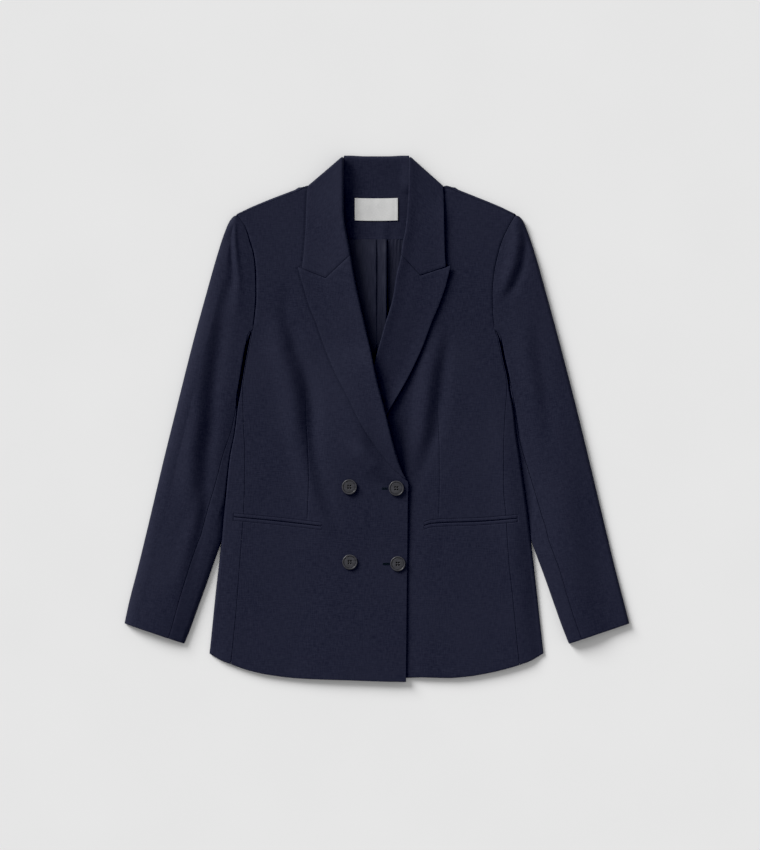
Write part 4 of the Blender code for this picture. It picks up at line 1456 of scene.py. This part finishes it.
# ---- lapels and collar
def roll_lip(form: BodyForm, side: Side, y: Array, top: Array, steps: int = 12) -> Array:
    """Pressed roll of cloth at the roll line, from the front's level up to what is turned back on it.

    A point is (start + outward * reach * (1 - cos a), low + radius * (1 + sin a)), with a from -90 to 90
    degrees. The reach is the radius, held to what the side allows.

    Args:
        form: the garment's form.
        side: side of the garment.
        y: each row's place, as a column.
        top: height of the turned cloth at the end of the roll, as a column.
        steps: columns of the roll.

    Returns:
        The grid of the roll, without its last column, which is the turned cloth's first.
    """
    start = form.inner_line.at(side, y) + side.outward * form.cloth / 2
    low = form.height(side, start, np.minimum(y, form.neck_y))
    radius = (top - low) / 2
    reach = np.minimum(radius, form.roll_reach.of(side))
    turn = angles(-90, 90, steps + 1)[:, :-1]
    return stack(start + side.outward * reach * (1 - np.cos(turn)), y + 0 * turn, low + radius * (1 + np.sin(turn)))


@dataclass(frozen=True)
class Lapel:
    """One peak lapel, turned back on its front along the roll line."""

    side: Side
    foot: Both = Both(-83.0, -66.0)    # y of the roll line's end
    edge_press: Pair = pair((208, 0.6, 0.2), (-79, 0.8, 0.2))
    curl: Pair = pair(
        (208, 0.9, 2.4), (170, 0.7, 1.6), (110, 0.6, 1), (60, 0.5, 2.2), (10, 0.5, 4.2), (-20, 0.5, 3.4),
        (-50, 0.4, 1.2), (-79, 0, 0))
    curl_reach: float = 14.0
    edge_foot: float = 5.0       # from the roll line's end up to the edge's
    bent: float = 0.3            # share of the rows that bend to the gorge
    weave_turn: float = 12.0
    form: BodyForm = FORM
    rows: int = 110

    def wall(self) -> Wall:
        """Rows from the roll line to the outer edge, the first ones bent to the gorge and the peak.

        The outer edge lifts by curl * exp(-distance / reach), as a pressed lapel does.

        Returns:
            The wall of the lapel.
        """
        form, side = self.form, self.side
        sign = side.outward
        rim = form.cloth / 2
        t = column(0, 1, self.rows)
        foot = self.foot.of(side)
        peak_y = form.peak.of(side)[1]
        roll_y = form.gorge_top + (foot - form.gorge_top) * t
        edge_y = peak_y + (foot + self.edge_foot - peak_y) * t
        start_x = form.inner_line.at(side, roll_y) + sign * form.lapel_start.of(side)
        edge_x = form.lapel_edge.at(side, edge_y) - sign * rim
        notch = (form.notch.of(side)[0] - start_x[0, 0]) / (edge_x[0, 0] - start_x[0, 0])
        shares = through(notch, 22, 19)
        x = start_x + (edge_x - start_x) * shares
        y = roll_y + (edge_y - roll_y) * shares
        bend = form.gorge_y(side, x[:1]) - form.inset() - form.gorge_gap.of(side) - y[:1]
        y = y + bend * np.clip(1 - t / self.bent, 0, 1)
        distance = np.hypot(x - edge_x, y - edge_y)
        z = form.turned(side, x, y) + self.curl.at(side, y) * np.exp(-distance / self.curl_reach)
        z = z - self.edge_press.at(side, y) * np.exp(-distance / form.edge_spread)
        lip = roll_lip(form, side, y[:, :1], z[:, :1])
        lip[..., 1] = y[:, :1]
        points = join(lip, stack(x, y, z))
        return Wall(points, turned_weave(points, self.weave_turn * sign), form.cloth)

    def dress(self, suiting: Material) -> None:
        """Make the lapel."""
        name = self.side.value
        lay_cloth("suit_lapel_" + name, self.wall(), suiting, ["lapel_" + name])


@dataclass(frozen=True)
class Collar:
    """Collar fall round the neck, and the stand inside it."""

    form: BodyForm = FORM
    corner: Both = Both((-44.3, 363.4), (42.6, 363.4))    # ends of each shoulder turn's outline
    end: Both = Both((-95.4, 320.3), (90.8, 320.4))
    point_x: Both = Both(-103.4, 94.8)                    # x of the collar's points
    leg_rows: int = 58
    leg_top: float = 357.5
    edge_top: float = 318.0
    bent: float = 0.5            # share of the rows that bend to the gorge
    curl: Both = Both(0.8, 2.4)
    curl_reach: float = 12.0
    curl_top: float = 312.0
    curl_ramp: float = 40.0
    edge_press: Both = Both(0.6, 0.2)
    turn_angles: tuple[int, ...] = (75, 60, 45, 30, 15, 0, -18, -36, -54, -72, -90)
    turn_least: float = 0.6
    turn_most: float = 3.0       # reach of the turn's lower half
    neck_roll: float = 354.3
    neck_seam: float = 319.2
    behind: tuple[tuple[float, float], ...] = (
        (-41, -78), (-30, -60), (-15, -30), (0, 0), (15, 30), (30, 60), (41, 78))
    weave_start: float = 900.0
    stand_section: tuple[tuple[float, ...], ...] = (    # y, height, half width and share of the sides' rise
        (306, 2.35, 53, 0), (310, 2.6, 53, 0.15), (314, 2.85, 53, 0.4), (318, 3.05, 53, 0.7), (322, 3.25, 53, 0.9),
        (326, 3.5, 53, 1), (332, 3.9, 52, 1), (338, 4.3, 50, 1), (344, 4.8, 48, 1), (349, 5.3, 47, 1),
        (353, 5.7, 46, 0.9), (356, 5.9, 45.5, 0.8), (358.3, 5.8, 45, 0.7), (359.9, 5.3, 44.6, 0.6),
        (360.9, 4.5, 44.4, 0.45), (361.3, 3.5, 44.2, 0.25), (361.0, 2.4, 44, 0.1), (360.0, 1.5, 43, 0),
        (358.5, 1.0, 42, 0), (355.2, 1.0, 41, 0))
    stand_centre: float = -0.8
    stand_sides: Both = Both(9.4, 7.4)
    stand_columns: int = 61

    def leg(self, side: Side) -> Array:
        """One leg of the fall, from the gorge to the shoulder, with its roll.

        Args:
            side: side of the garment.

        Returns:
            The leg's grid.
        """
        form = self.form
        sign = side.outward
        rim = form.cloth / 2
        t = column(0, 1, self.leg_rows)
        start_y = form.gorge_top
        roll_y = start_y + (self.leg_top - start_y) * t
        point_x = self.point_x.of(side)
        point_y = float(form.gorge_y(side, point_x))
        edge_y = point_y + (self.edge_top - point_y) * t
        roll_x = form.inner_line.at(side, roll_y) + sign * form.leg_start.of(side)
        edge_x = form.collar_edge.at(side, edge_y) - sign * rim
        start_x = float(form.inner_line.at(side, start_y)) + sign * form.leg_start.of(Side.RIGHT)
        shares = through((form.notch.of(side)[0] - start_x) / (point_x - start_x), 20, 20)
        x = roll_x + (edge_x - roll_x) * shares
        y = roll_y + (edge_y - roll_y) * shares
        bend = form.gorge_y(side, x[:1]) + form.inset() + form.gorge_gap.of(side) - y[:1]
        y = y + bend * np.clip(1 - t / self.bent, 0, 1)
        distance = np.abs(x - edge_x)
        curl = self.curl.of(side) * soft_step((self.curl_top - y) / self.curl_ramp)
        z = form.turned(side, x, np.minimum(y, form.neck_y)) + curl * np.exp(-distance / self.curl_reach)
        z = z - self.edge_press.of(side) * np.exp(-distance / form.edge_spread)
        lip = roll_lip(form, side, y[:, :1], z[:, :1])
        return join(lip, stack(x, y, z))

    def over(self, side: Side, last: Array) -> Array:
        """The turn over the shoulder: half-ellipses from the leg's last row down to the surface.

        Args:
            side: side of the garment.
            last: the leg's last row.

        Returns:
            Rows from the top of the turn to the surface, beyond the leg's last row.
        """
        form = self.form
        sign = side.outward
        corner, end = np.array(self.corner.of(side)), np.array(self.end.of(side))
        run = (end - corner) / np.linalg.norm(end - corner)
        inward = -np.abs(run[::-1]) * (sign, 1)
        place = np.clip(((last[:, :2] - corner) @ run), 0.0, np.linalg.norm(end - corner))
        outline = corner + place[:, None] * run + inward * form.cloth / 2
        depth = np.maximum(((last[:, :2] - outline) @ inward), self.turn_least)
        top = last[:, 2]
        middle, half = (top + self.form.base) / 2, (top - self.form.base) / 2
        rows = []
        for angle in np.radians(self.turn_angles):
            reach = depth if angle > 0 else np.minimum(depth, self.turn_most)
            centre = outline + inward * reach[:, None]
            point = centre - inward * (reach * math.cos(angle))[:, None]
            rows.append(np.column_stack([point, middle + half * math.sin(angle)]))
        return np.array(rows)

    def fall(self) -> Wall:
        """Right leg, over the shoulder, flat behind the neck, and up to the left leg.

        Returns:
            The wall of the fall.
        """
        legs = {side: self.leg(side) for side in Side}
        turns = {side: self.over(side, legs[side][-1]) for side in Side}
        columns = legs[Side.RIGHT].shape[1]
        share = np.linspace(0, 1, columns)
        behind = []
        y = self.neck_roll + (self.neck_seam - self.neck_roll) * share
        for inner_x, outer_x in self.behind:
            x = inner_x + (outer_x - inner_x) * share
            behind.append(np.column_stack([x, y, np.full(columns, self.form.base)]))
        points = np.concatenate([legs[Side.RIGHT], turns[Side.RIGHT], np.array(behind),
                                 turns[Side.LEFT][::-1], legs[Side.LEFT][::-1]])
        steps = np.linalg.norm(np.diff(points, axis=0), axis=2).mean(1)
        v = np.concatenate([[0.0], np.cumsum(steps)])[:, None]
        u = across_lengths(points)
        return Wall(points, np.stack(np.broadcast_arrays(u, v + self.weave_start), axis=2), self.form.cloth)

    def stand(self) -> Wall:
        """Inside of the stand: from the neck seam up to the fold at the top, and over it.

        A section carried across the neck, whose sides rise to go under the legs' rolls
        and whose top dips a little at the middle.

        Returns:
            The wall of the stand.
        """
        y, z, half, rise = (np.array(part)[:, None] for part in zip(*self.stand_section))
        x = half * np.sin(row(-0.5, 0.5, self.stand_columns) * np.pi) + self.stand_centre
        aside = np.abs(x - self.stand_centre)
        side_top = np.where(x < 0, self.stand_sides.right, self.stand_sides.left)
        lift = (side_top - z) * rise * soft_step((aside - 30) / 18)
        dip = 0.9 * (1 - soft_step((aside - 16) / 20)) * soft_step((y - 352) / 8)
        points = stack(x, y - dip, z + lift)
        return plain_wall(points, self.form.cloth)

    def dress(self, suiting: Material) -> None:
        """Make the fall and the stand.

        Args:
            suiting: the cloth's material.
        """
        lay_cloth("suit_collar_fall", self.fall(), suiting, ["collar_fall"])
        lay_cloth("suit_collar_stand", self.stand(), suiting, ["collar_stand"])


# ---- back, neck and label
@dataclass(frozen=True)
class BackAndNeck:
    """Back panel under everything, with the facing, the pleated lining and the bare label in the neck."""

    form: BodyForm = FORM
    top: float = 317.3
    rows: int = 214
    flat_step: float = 0.02       # between the columns of an edge that lies flat
    back_short: float = 3.0       # by which its hem is above the front's
    facing_top: float = 318.0
    facing_ends: tuple[float, float] = (-72.0, 70.0)
    facing_foot: float = 246.5
    facing_cloth: float = 1.1
    on_back: float = 2.5          # underside of the facing and the lining
    lining_foot: float = 40.0
    lining_cloth: float = 0.8
    label_centre: tuple[float, float] = (-1.1, 288.0)
    label_size: tuple[float, float] = (59.0, 30.5)
    label_cloth: float = 0.35
    overhang: Line = line((276, 3), (279, 4.5), (285, 5.6), (291, 6.6), (303, 8.2), (316, 8.4))
    neck_corner: float = 3.0
    pleat: Line = line(
        (-60, 0.6), (-20, 1.9), (-7, 2.7), (-3.2, 2.95), (-1.9, 3), (-1.3, 2.8), (-0.8, 1.9), (0.2, 1.9), (3, 2.2),
        (9, 3), (11.4, 3.5), (12.6, 3.5), (13.2, 2.8), (13.8, 1.4), (14.4, 0.3), (17, 0.05), (24, 0.1), (30, 0.3),
        (58, 0.2))
    fullness: Line = line(
        (40, 0.2), (100, 0.4), (130, 0.7), (150, 1.1), (175, 1.5), (190, 1.6), (225, 1.5), (246.5, 0.8))
    channel: Fall = Fall(((15, 276, 0.05, 6), (15, 262, 0.4, 6), (15, 244, 0.7, 6)))
    label_level: float = 4.35
    stitches: int = 17

    def back(self) -> Wall:
        """Back: a flat sheet from shoulder to hem whose shoulder edge turns up to the front's seam.

        Returns:
            The wall of the back.
        """
        form, base = self.form, self.form.base
        y = column(self.top, form.hem_row + form.hem_inset, self.rows)
        low, high = angles(-80, 0, 7), angles(15, 90, 8)
        rise = soft_step((y - 276) / 6)
        edges, turns = {}, {}
        for side in Side:
            sign = side.outward
            body = form.side_fold.at(side, y) - sign * (form.flap + form.inset())
            arm = form.seam(side, y) + sign * (self.overhang.at(y) * soft_step((y - 275) / 3) - form.cloth / 2)
            edge = edges[side] = body + (arm - body) * soft_step((y - 112) / 14)
            seam = form.seam(side, y) + sign * form.inset()
            half = (form.height(side, seam, np.minimum(y, form.neck_y)) - base) * rise / 2
            turn = join(edge - sign * half + sign * half * np.cos(low), seam + (edge - seam) * np.cos(high))
            spread = edge + sign * self.flat_step * np.arange(1, turn.shape[1] + 1)[None, :]
            turns[side] = (turn * rise + spread * (1 - rise), base + half * (1 + np.sin(join(low, high))))
        right, left = edges[Side.RIGHT], edges[Side.LEFT]
        flat = right + (left - right) * row(0, 1, 121)
        flats = (flat, np.full(flat.shape, base))
        x, z = (join(start[:, ::-1], middle, end) for start, middle, end in
                zip(turns[Side.RIGHT], flats, turns[Side.LEFT]))
        to_hem = soft_step((form.hem_row + form.hem_reach - y) / form.hem_reach)
        hem = np.minimum(form.hem.at(Side.RIGHT, -np.abs(x)), form.hem_row) + self.back_short
        corner = self.neck_corner * bump(np.abs(x) - 96, 6) * soft_step((y - 300) / 17)
        points = stack(x, y + to_hem * (hem - form.hem_row) + corner, z)
        return plain_wall(points, form.cloth)

    def facing(self) -> Wall:
        """Back neck facing: flat, a little proud along its lower seam.

        Returns:
            The wall of the facing.
        """
        y = column(self.facing_top, self.facing_foot, 40)
        x = row(*self.facing_ends, 90)
        proud = 0.25 * bump(y - self.facing_foot, 2.2)
        z = self.on_back + 0.5 * self.facing_cloth + 0.35 * ripples(x, y) + proud
        z = z + self.channel.height(x, y)
        points = stack(x, y, z)
        return plain_wall(points, self.facing_cloth)

    def lining(self) -> Wall:
        """Back lining: a pressed centre pleat and small gathers beside it, each row the same profile by its fullness.

        Returns:
            The wall of the lining.
        """
        y = np.concatenate([np.linspace(self.facing_foot - 0.5, 236, 12), np.linspace(234, self.lining_foot, 80)])
        y = y[:, None]
        x = np.unique(np.concatenate([np.linspace(-60, 58, 80), np.linspace(-4, 16, 60)]))[None, :]
        fade = np.exp(-(self.facing_foot - y) / 20)
        gathers = 0.75 * bump(x - 27, 7.5) * np.sin((x - 20.5) * 1.35 + 0.05 * (246 - y)) * fade
        drape = 0.35 * np.sin(0.09 * x + 0.021 * y) * soft_step((246 - y) / 60)
        z = self.on_back + 0.5 * self.lining_cloth + self.pleat.at(x) * self.fullness.at(y) + gathers + drape
        points = stack(x, y, np.maximum(z, self.on_back - 0.05))
        run = across_lengths(points)
        return Wall(points, np.stack([run, points[..., 1]], axis=2), self.lining_cloth)

    def label(self) -> Wall:
        """Bare woven label: flat, with a thicker fold turned under at each end and a slight bow.

        Returns:
            The wall of the label.
        """
        width, length = self.label_size
        s = np.unique(np.concatenate([np.linspace(-0.5, 0.5, 70), 0.5 - np.linspace(0, 0.03, 8),
                                      np.linspace(0, 0.03, 8) - 0.5]))[None, :]
        t = column(0.5, -0.5, 40)
        x = self.label_centre[0] + s * width
        y = self.label_centre[1] + t * length - 0.6 * (1 - 4 * s**2)
        ends = np.exp(-(((0.5 - np.abs(s)) * width / 3.2) ** 4))
        waves = 0.12 * np.sin(0.35 * x) * (0.6 + t)
        z = self.label_level + self.label_cloth / 2 + 0.3 * ends + 0.28 * (1 - 4 * t**2) + waves
        points = stack(x, y, z)
        return plain_wall(points, self.label_cloth)

    def label_stitches(self) -> Mesh:
        """Short slanting stitches that hold the label's two ends.

        Returns:
            One mesh of all the stitches.
        """
        width, length = self.label_size
        count = self.stitches
        y = self.label_centre[1] + (np.arange(count) / (count - 1) - 0.5) * (length - 3.0)
        rows = np.concatenate([np.column_stack([np.full(count, self.label_centre[0] + sign * (width / 2 - 1.1)), y])
                               for sign in (-1, 1)])
        return arched_strips("label_stitches", rows, (0.35, 1.1), 0.32, self.label_level + 0.6, 0.16)

    def dress(self, suiting: Material, lining: Material, satin: Material,
              thread: Material) -> None:
        """Make the back, facing, lining and label.

        Args:
            suiting: material of the back and the facing.
            lining: the lining's material.
            satin: the label's material.
            thread: material of the label's stitches.
        """
        lay_cloth("suit_back", self.back(), suiting, ["back"])
        lay_cloth("neck_facing_cloth", self.facing(), suiting, ["neck_facing"])
        lay_cloth("back_lining_cloth", self.lining(), lining, ["back_lining"])
        lay_cloth("bare_label", self.label(), satin, ["label"])
        register(new_object("label_stitches", self.label_stitches(), thread), [])


def arched_strips(name: str, centres: Array, run: tuple[float, float], width: float, base: float,
                  rise: float) -> Mesh:
    """Many short stitches in one mesh: each a half-round rod along the same run, arched in the middle.

    A point of a stitch is centre + run * s + side * w * cos a, at height
    base + rise * (1 - 4 s^2) + w * sin a, with s from -1/2 to 1/2 and a all round.

    Args:
        name: name of the mesh.
        centres: x and y of each stitch's middle, and z too where it has one.
        run: x and y from a stitch's start to its end.
        width: width of the thread.
        base: height of the stitches' ends.
        rise: further height of their middles.

    Returns:
        The mesh.
    """
    length = np.linalg.norm(run)
    side = np.array((-run[1], run[0])) / length
    s = column(-0.5, 0.5, 6)
    angle = row(0, 2 * np.pi, 7)[:, :-1]
    thin = np.sqrt(np.clip(1 - (2 * s) ** 8, 0.02, 1)) * width / 2
    x = run[0] * s + side[0] * thin * np.cos(angle)
    y = run[1] * s + side[1] * thin * np.cos(angle)
    z = base + rise * (1 - 4 * s**2) + thin * np.sin(angle)
    one = stack(x, y, z)
    index, faces = tube(*one.shape[:2])
    halves = [[0, 1, 2, 3], [0, 3, 4, 5]]
    faces = np.concatenate([faces, index[0][halves][:, ::-1], index[-1][halves]])[:, ::-1]
    shift = np.zeros((len(centres), 1, 3))
    shift[:, 0, :centres.shape[1]] = centres
    points = (one.reshape(1, -1, 3) + shift).reshape(-1, 3)
    offsets = np.arange(len(centres))[:, None, None] * index.size
    return grid_mesh(name, points, (faces[None] + offsets).reshape(-1, 4))


# ---- buttons
@dataclass(frozen=True)
class Buttons:
    """Four four-hole buttons in two columns, and the two worked buttonholes that show."""

    centres: tuple[tuple[float, float], ...] = ((-38.2, -94.7), (26.5, -96.6), (-37.5, -198.3), (28.6, -200.6))
    hole: float = 1.15          # radius of a hole
    hole_wall: float = 0.16
    hole_dish: float = 0.12     # depth of the softened rim round a hole
    dish_spread: float = 0.22
    pitch: float = 3.3          # from hole to hole
    sink: float = 1.8
    thread: float = 0.32
    strand: float = 0.2         # from a bar's middle to each strand
    stitch_step: float = 0.42
    lip: float = 0.85           # from a buttonhole's slit to its stitches
    eye: float = 1.05           # radius of its eyelet's stitches
    profile: Line = line(
        (0, 2.2), (4, 2.3), (6.8, 2.2), (7.7, 2.05), (8.1, 1.75), (8.45, 1.85), (8.75, 2.6), (9.15, 2.95),
        (9.7, 2.95), (10.1, 2.7), (10.4, 2.2), (10.5, 1.6))
    under: tuple[tuple[float, float], ...] = ((10.42, 1.2), (10.1, 0.7), (9.4, 0.25), (8.2, 0.02), (4, 0), (0.05, 0))
    holes: tuple[tuple[float, float, float], ...] = ((6.6, 14.4, -97.0), (8.1, 17.0, -200.9))
    form: BodyForm = FORM

    def seat(self, number: int) -> float:
        """Height of a button's underside, from its solid."""
        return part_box("button_%d" % number)[0][2] / MM

    def body(self, number: int) -> Mesh:
        """Turned button: rings of its profile, sunk by a steep round step at its four holes, closed beneath.

        Args:
            number: the button's number, from 1.

        Returns:
            The mesh, whose map marks the holes with 1 for their painted shade.
        """
        r = np.concatenate([np.linspace(0.05, 4.0, 40), np.linspace(4.3, 7.6, 9), np.linspace(7.8, 10.1, 20),
                            (10.25, 10.4, 10.5)])[:, None]
        angle = row(0, 2 * np.pi, 97)[:, :-1]
        x, y = r * np.cos(angle), r * np.sin(angle)
        nearest = np.hypot(np.abs(x) - self.pitch / 2, np.abs(y) - self.pitch / 2)
        sunk = soft_step((self.hole + self.hole_wall / 2 - nearest) / self.hole_wall)
        z = self.profile.at(r) - self.sink * sunk
        z = z - self.hole_dish * bump(nearest - self.hole - 0.1, self.dish_spread)
        low_r, low_z = (np.array(part)[:, None] for part in zip(*self.under))
        points = np.concatenate([stack(x, y, z), stack(low_r * np.cos(angle), low_r * np.sin(angle), low_z)])
        rows, columns = points.shape[:2]
        index, faces = tube(rows, columns)
        faces = faces[:, [0, 3, 2, 1]]
        fans = []
        for ring, order in ((index[0], 1), (index[-1], -1)):
            k = np.arange(1, columns - 2, 2)
            fans.append(np.stack([np.full(len(k), ring[0]), ring[k], ring[k + 1], ring[k + 2]], axis=1)[:, ::order])
        faces = np.concatenate([faces, *fans])
        place = np.array((*self.centres[number - 1], self.seat(number)))
        # map of the holes' painted shade, 1 in each hole
        shade = np.zeros((rows, columns, 2))
        shade[:len(sunk), :, 0] = sunk / MM
        return grid_mesh("button_%d_body" % number, points.reshape(-1, 3) + place, faces, shade.reshape(-1, 2))

    def threads(self, number: int) -> Mesh:
        """Two bars of sewing thread between each button's holes, two strands each.

        Args:
            number: the button's number, from 1.

        Returns:
            One mesh of the four strands.
        """
        x, y = self.centres[number - 1]
        rows = [(x, y + sign * self.pitch / 2 + strand) for sign in (-1, 1) for strand in (-self.strand, self.strand)]
        return arched_strips("button_%d_thread" % number, np.array(rows), (self.pitch + 0.3, 0.0), self.thread,
                             self.seat(number) + 1.0, 1.1)

    def buttonhole(self, number: int) -> Mesh:
        """A worked buttonhole: purl stitches on both sides of its slit and round its eyelet.

        Args:
            number: 1 for the upper one, 2 for the lower one.

        Returns:
            One mesh of all the stitches.
        """
        start, end, y = self.holes[number - 1]
        along = np.arange(start + 1.6, end, self.stitch_step)
        around = np.radians(np.linspace(50, 310, 13))
        level = np.full(len(along), y)
        x = np.concatenate([along, along, start + 0.9 + self.eye * np.cos(around)])
        line_y = np.concatenate([level + self.lip, level - self.lip, y + self.eye * np.sin(around)])
        z = self.form.height(Side.RIGHT, x, line_y) + self.form.cloth / 2
        return arched_strips("buttonhole_%d" % number, np.column_stack([x, line_y, z]), (0.06, 1.5), 0.4, 0.02, 0.25)

    def dress(self, horn: Material, thread: Material, silk: Material) -> None:
        """Make the buttons, their sewing and the buttonholes.

        Args:
            horn: the buttons' material.
            thread: material of their sewing.
            silk: material of the buttonholes' stitches.
        """
        for number in range(1, len(self.centres) + 1):
            register(new_object("horn_button_%d" % number, self.body(number), horn), ["button_%d" % number])
            register(new_object("button_thread_%d" % number, self.threads(number), thread), [])
        for number in range(1, len(self.holes) + 1):
            register(new_object("buttonhole_%d" % number, self.buttonhole(number), silk), [])


# ---- studio
@dataclass(frozen=True)
class Studio:
    """Pale floor, a large soft key light from the upper left, even fill, and the camera straight above."""

    floor_size: float = 30.0
    floor_tone: Colour = (0.825, 0.825, 0.825)
    key_strength: float = 3.9
    key_azimuth: float = 135.0
    key_elevation: float = 25.0
    key_angle: float = 0.5
    black_point: float = 0.006
    fill: Colour = (0.44, 0.44, 0.44)
    camera_height: float = 4.9
    aim: tuple[float, float] = (0.0040, -0.0095)
    view_tall: float = 1.173

    def floor(self) -> None:
        """The surface that the garment lies on, level with its underside."""
        corners = np.array(((-1, -1, 0), (1, -1, 0), (1, 1, 0), (-1, 1, 0))) * self.floor_size / 2 / MM
        g = Graph("pale_floor")
        grain = g.noise(g.place(), 6.0)
        color = g.blend(g.spread(grain, 0.3, 0.7), rgba(self.floor_tone, 0.985), rgba(self.floor_tone))
        paint = g.finish(color, 0.9, None, Specular_IOR_Level=0.1)
        new_object("studio_floor", grid_mesh("studio_floor", corners, np.array([[0, 1, 2, 3]])), paint)

    def lights(self) -> None:
        """Key light and even fill."""
        lamp = bpy.data.lights.new("key", "SUN")
        lamp.energy = self.key_strength
        lamp.angle = self.key_angle
        key = bpy.data.objects.new("key", lamp)
        azimuth, elevation = math.radians(self.key_azimuth), math.radians(self.key_elevation)
        towards = Vector((math.cos(azimuth) * math.cos(elevation), math.sin(azimuth) * math.cos(elevation),
                          math.sin(elevation)))
        key.rotation_euler = towards.to_track_quat("Z", "Y").to_euler()
        key.location = towards * 3
        bpy.context.scene.collection.objects.link(key)
        world = bpy.data.worlds.new("even_fill")
        world.use_nodes = True
        world.node_tree.nodes["Background"].inputs["Color"].default_value = rgba(self.fill)
        bpy.context.scene.world = world

    def camera(self) -> None:
        """Camera straight above, framing the whole garment."""
        lens = bpy.data.cameras.new("camera")
        lens.sensor_fit = "VERTICAL"
        lens.sensor_height = 36.0
        lens.lens = 36.0 * self.camera_height / self.view_tall
        lens.clip_end = 50.0
        eye = bpy.data.objects.new("camera", lens)
        eye.location = (*self.aim, self.camera_height)
        bpy.context.scene.collection.objects.link(eye)
        bpy.context.scene.camera = eye
        response = bpy.context.scene.view_settings
        response.view_transform = "Standard"
        response.use_curve_mapping = True
        response.curve_mapping.black_level = (self.black_point,) * 3
        response.curve_mapping.update()

    def dress(self) -> None:
        """Set floor, lights and camera."""
        self.floor()
        self.lights()
        self.camera()


def main() -> None:
    """Build each part of the blazer in order."""
    logging.basicConfig(level=logging.INFO, format="%(name)s %(message)s")
    Studio().dress()
    suiting = Suiting("navy_twill", (0.0084, 0.0094, 0.0222), (0.0206, 0.0223, 0.0410)).make()
    lining = LiningTwill().make()
    thread = Thread("dark_thread", (0.004, 0.0045, 0.007)).make()
    silk = Thread("buttonhole_silk", (0.0075, 0.0125, 0.0165)).make()
    white = Thread("label_thread", (0.30, 0.31, 0.33)).make()
    BackAndNeck().dress(suiting, lining, LabelSatin().make(), white)
    for side in Side:
        FrontHalf(side).dress(suiting)
        Sleeve(side).dress(suiting)
        Lapel(side).dress(suiting)
    Collar().dress(suiting)
    Buttons().dress(Horn().make(), thread, silk)


if __name__ == "__main__":
    main()
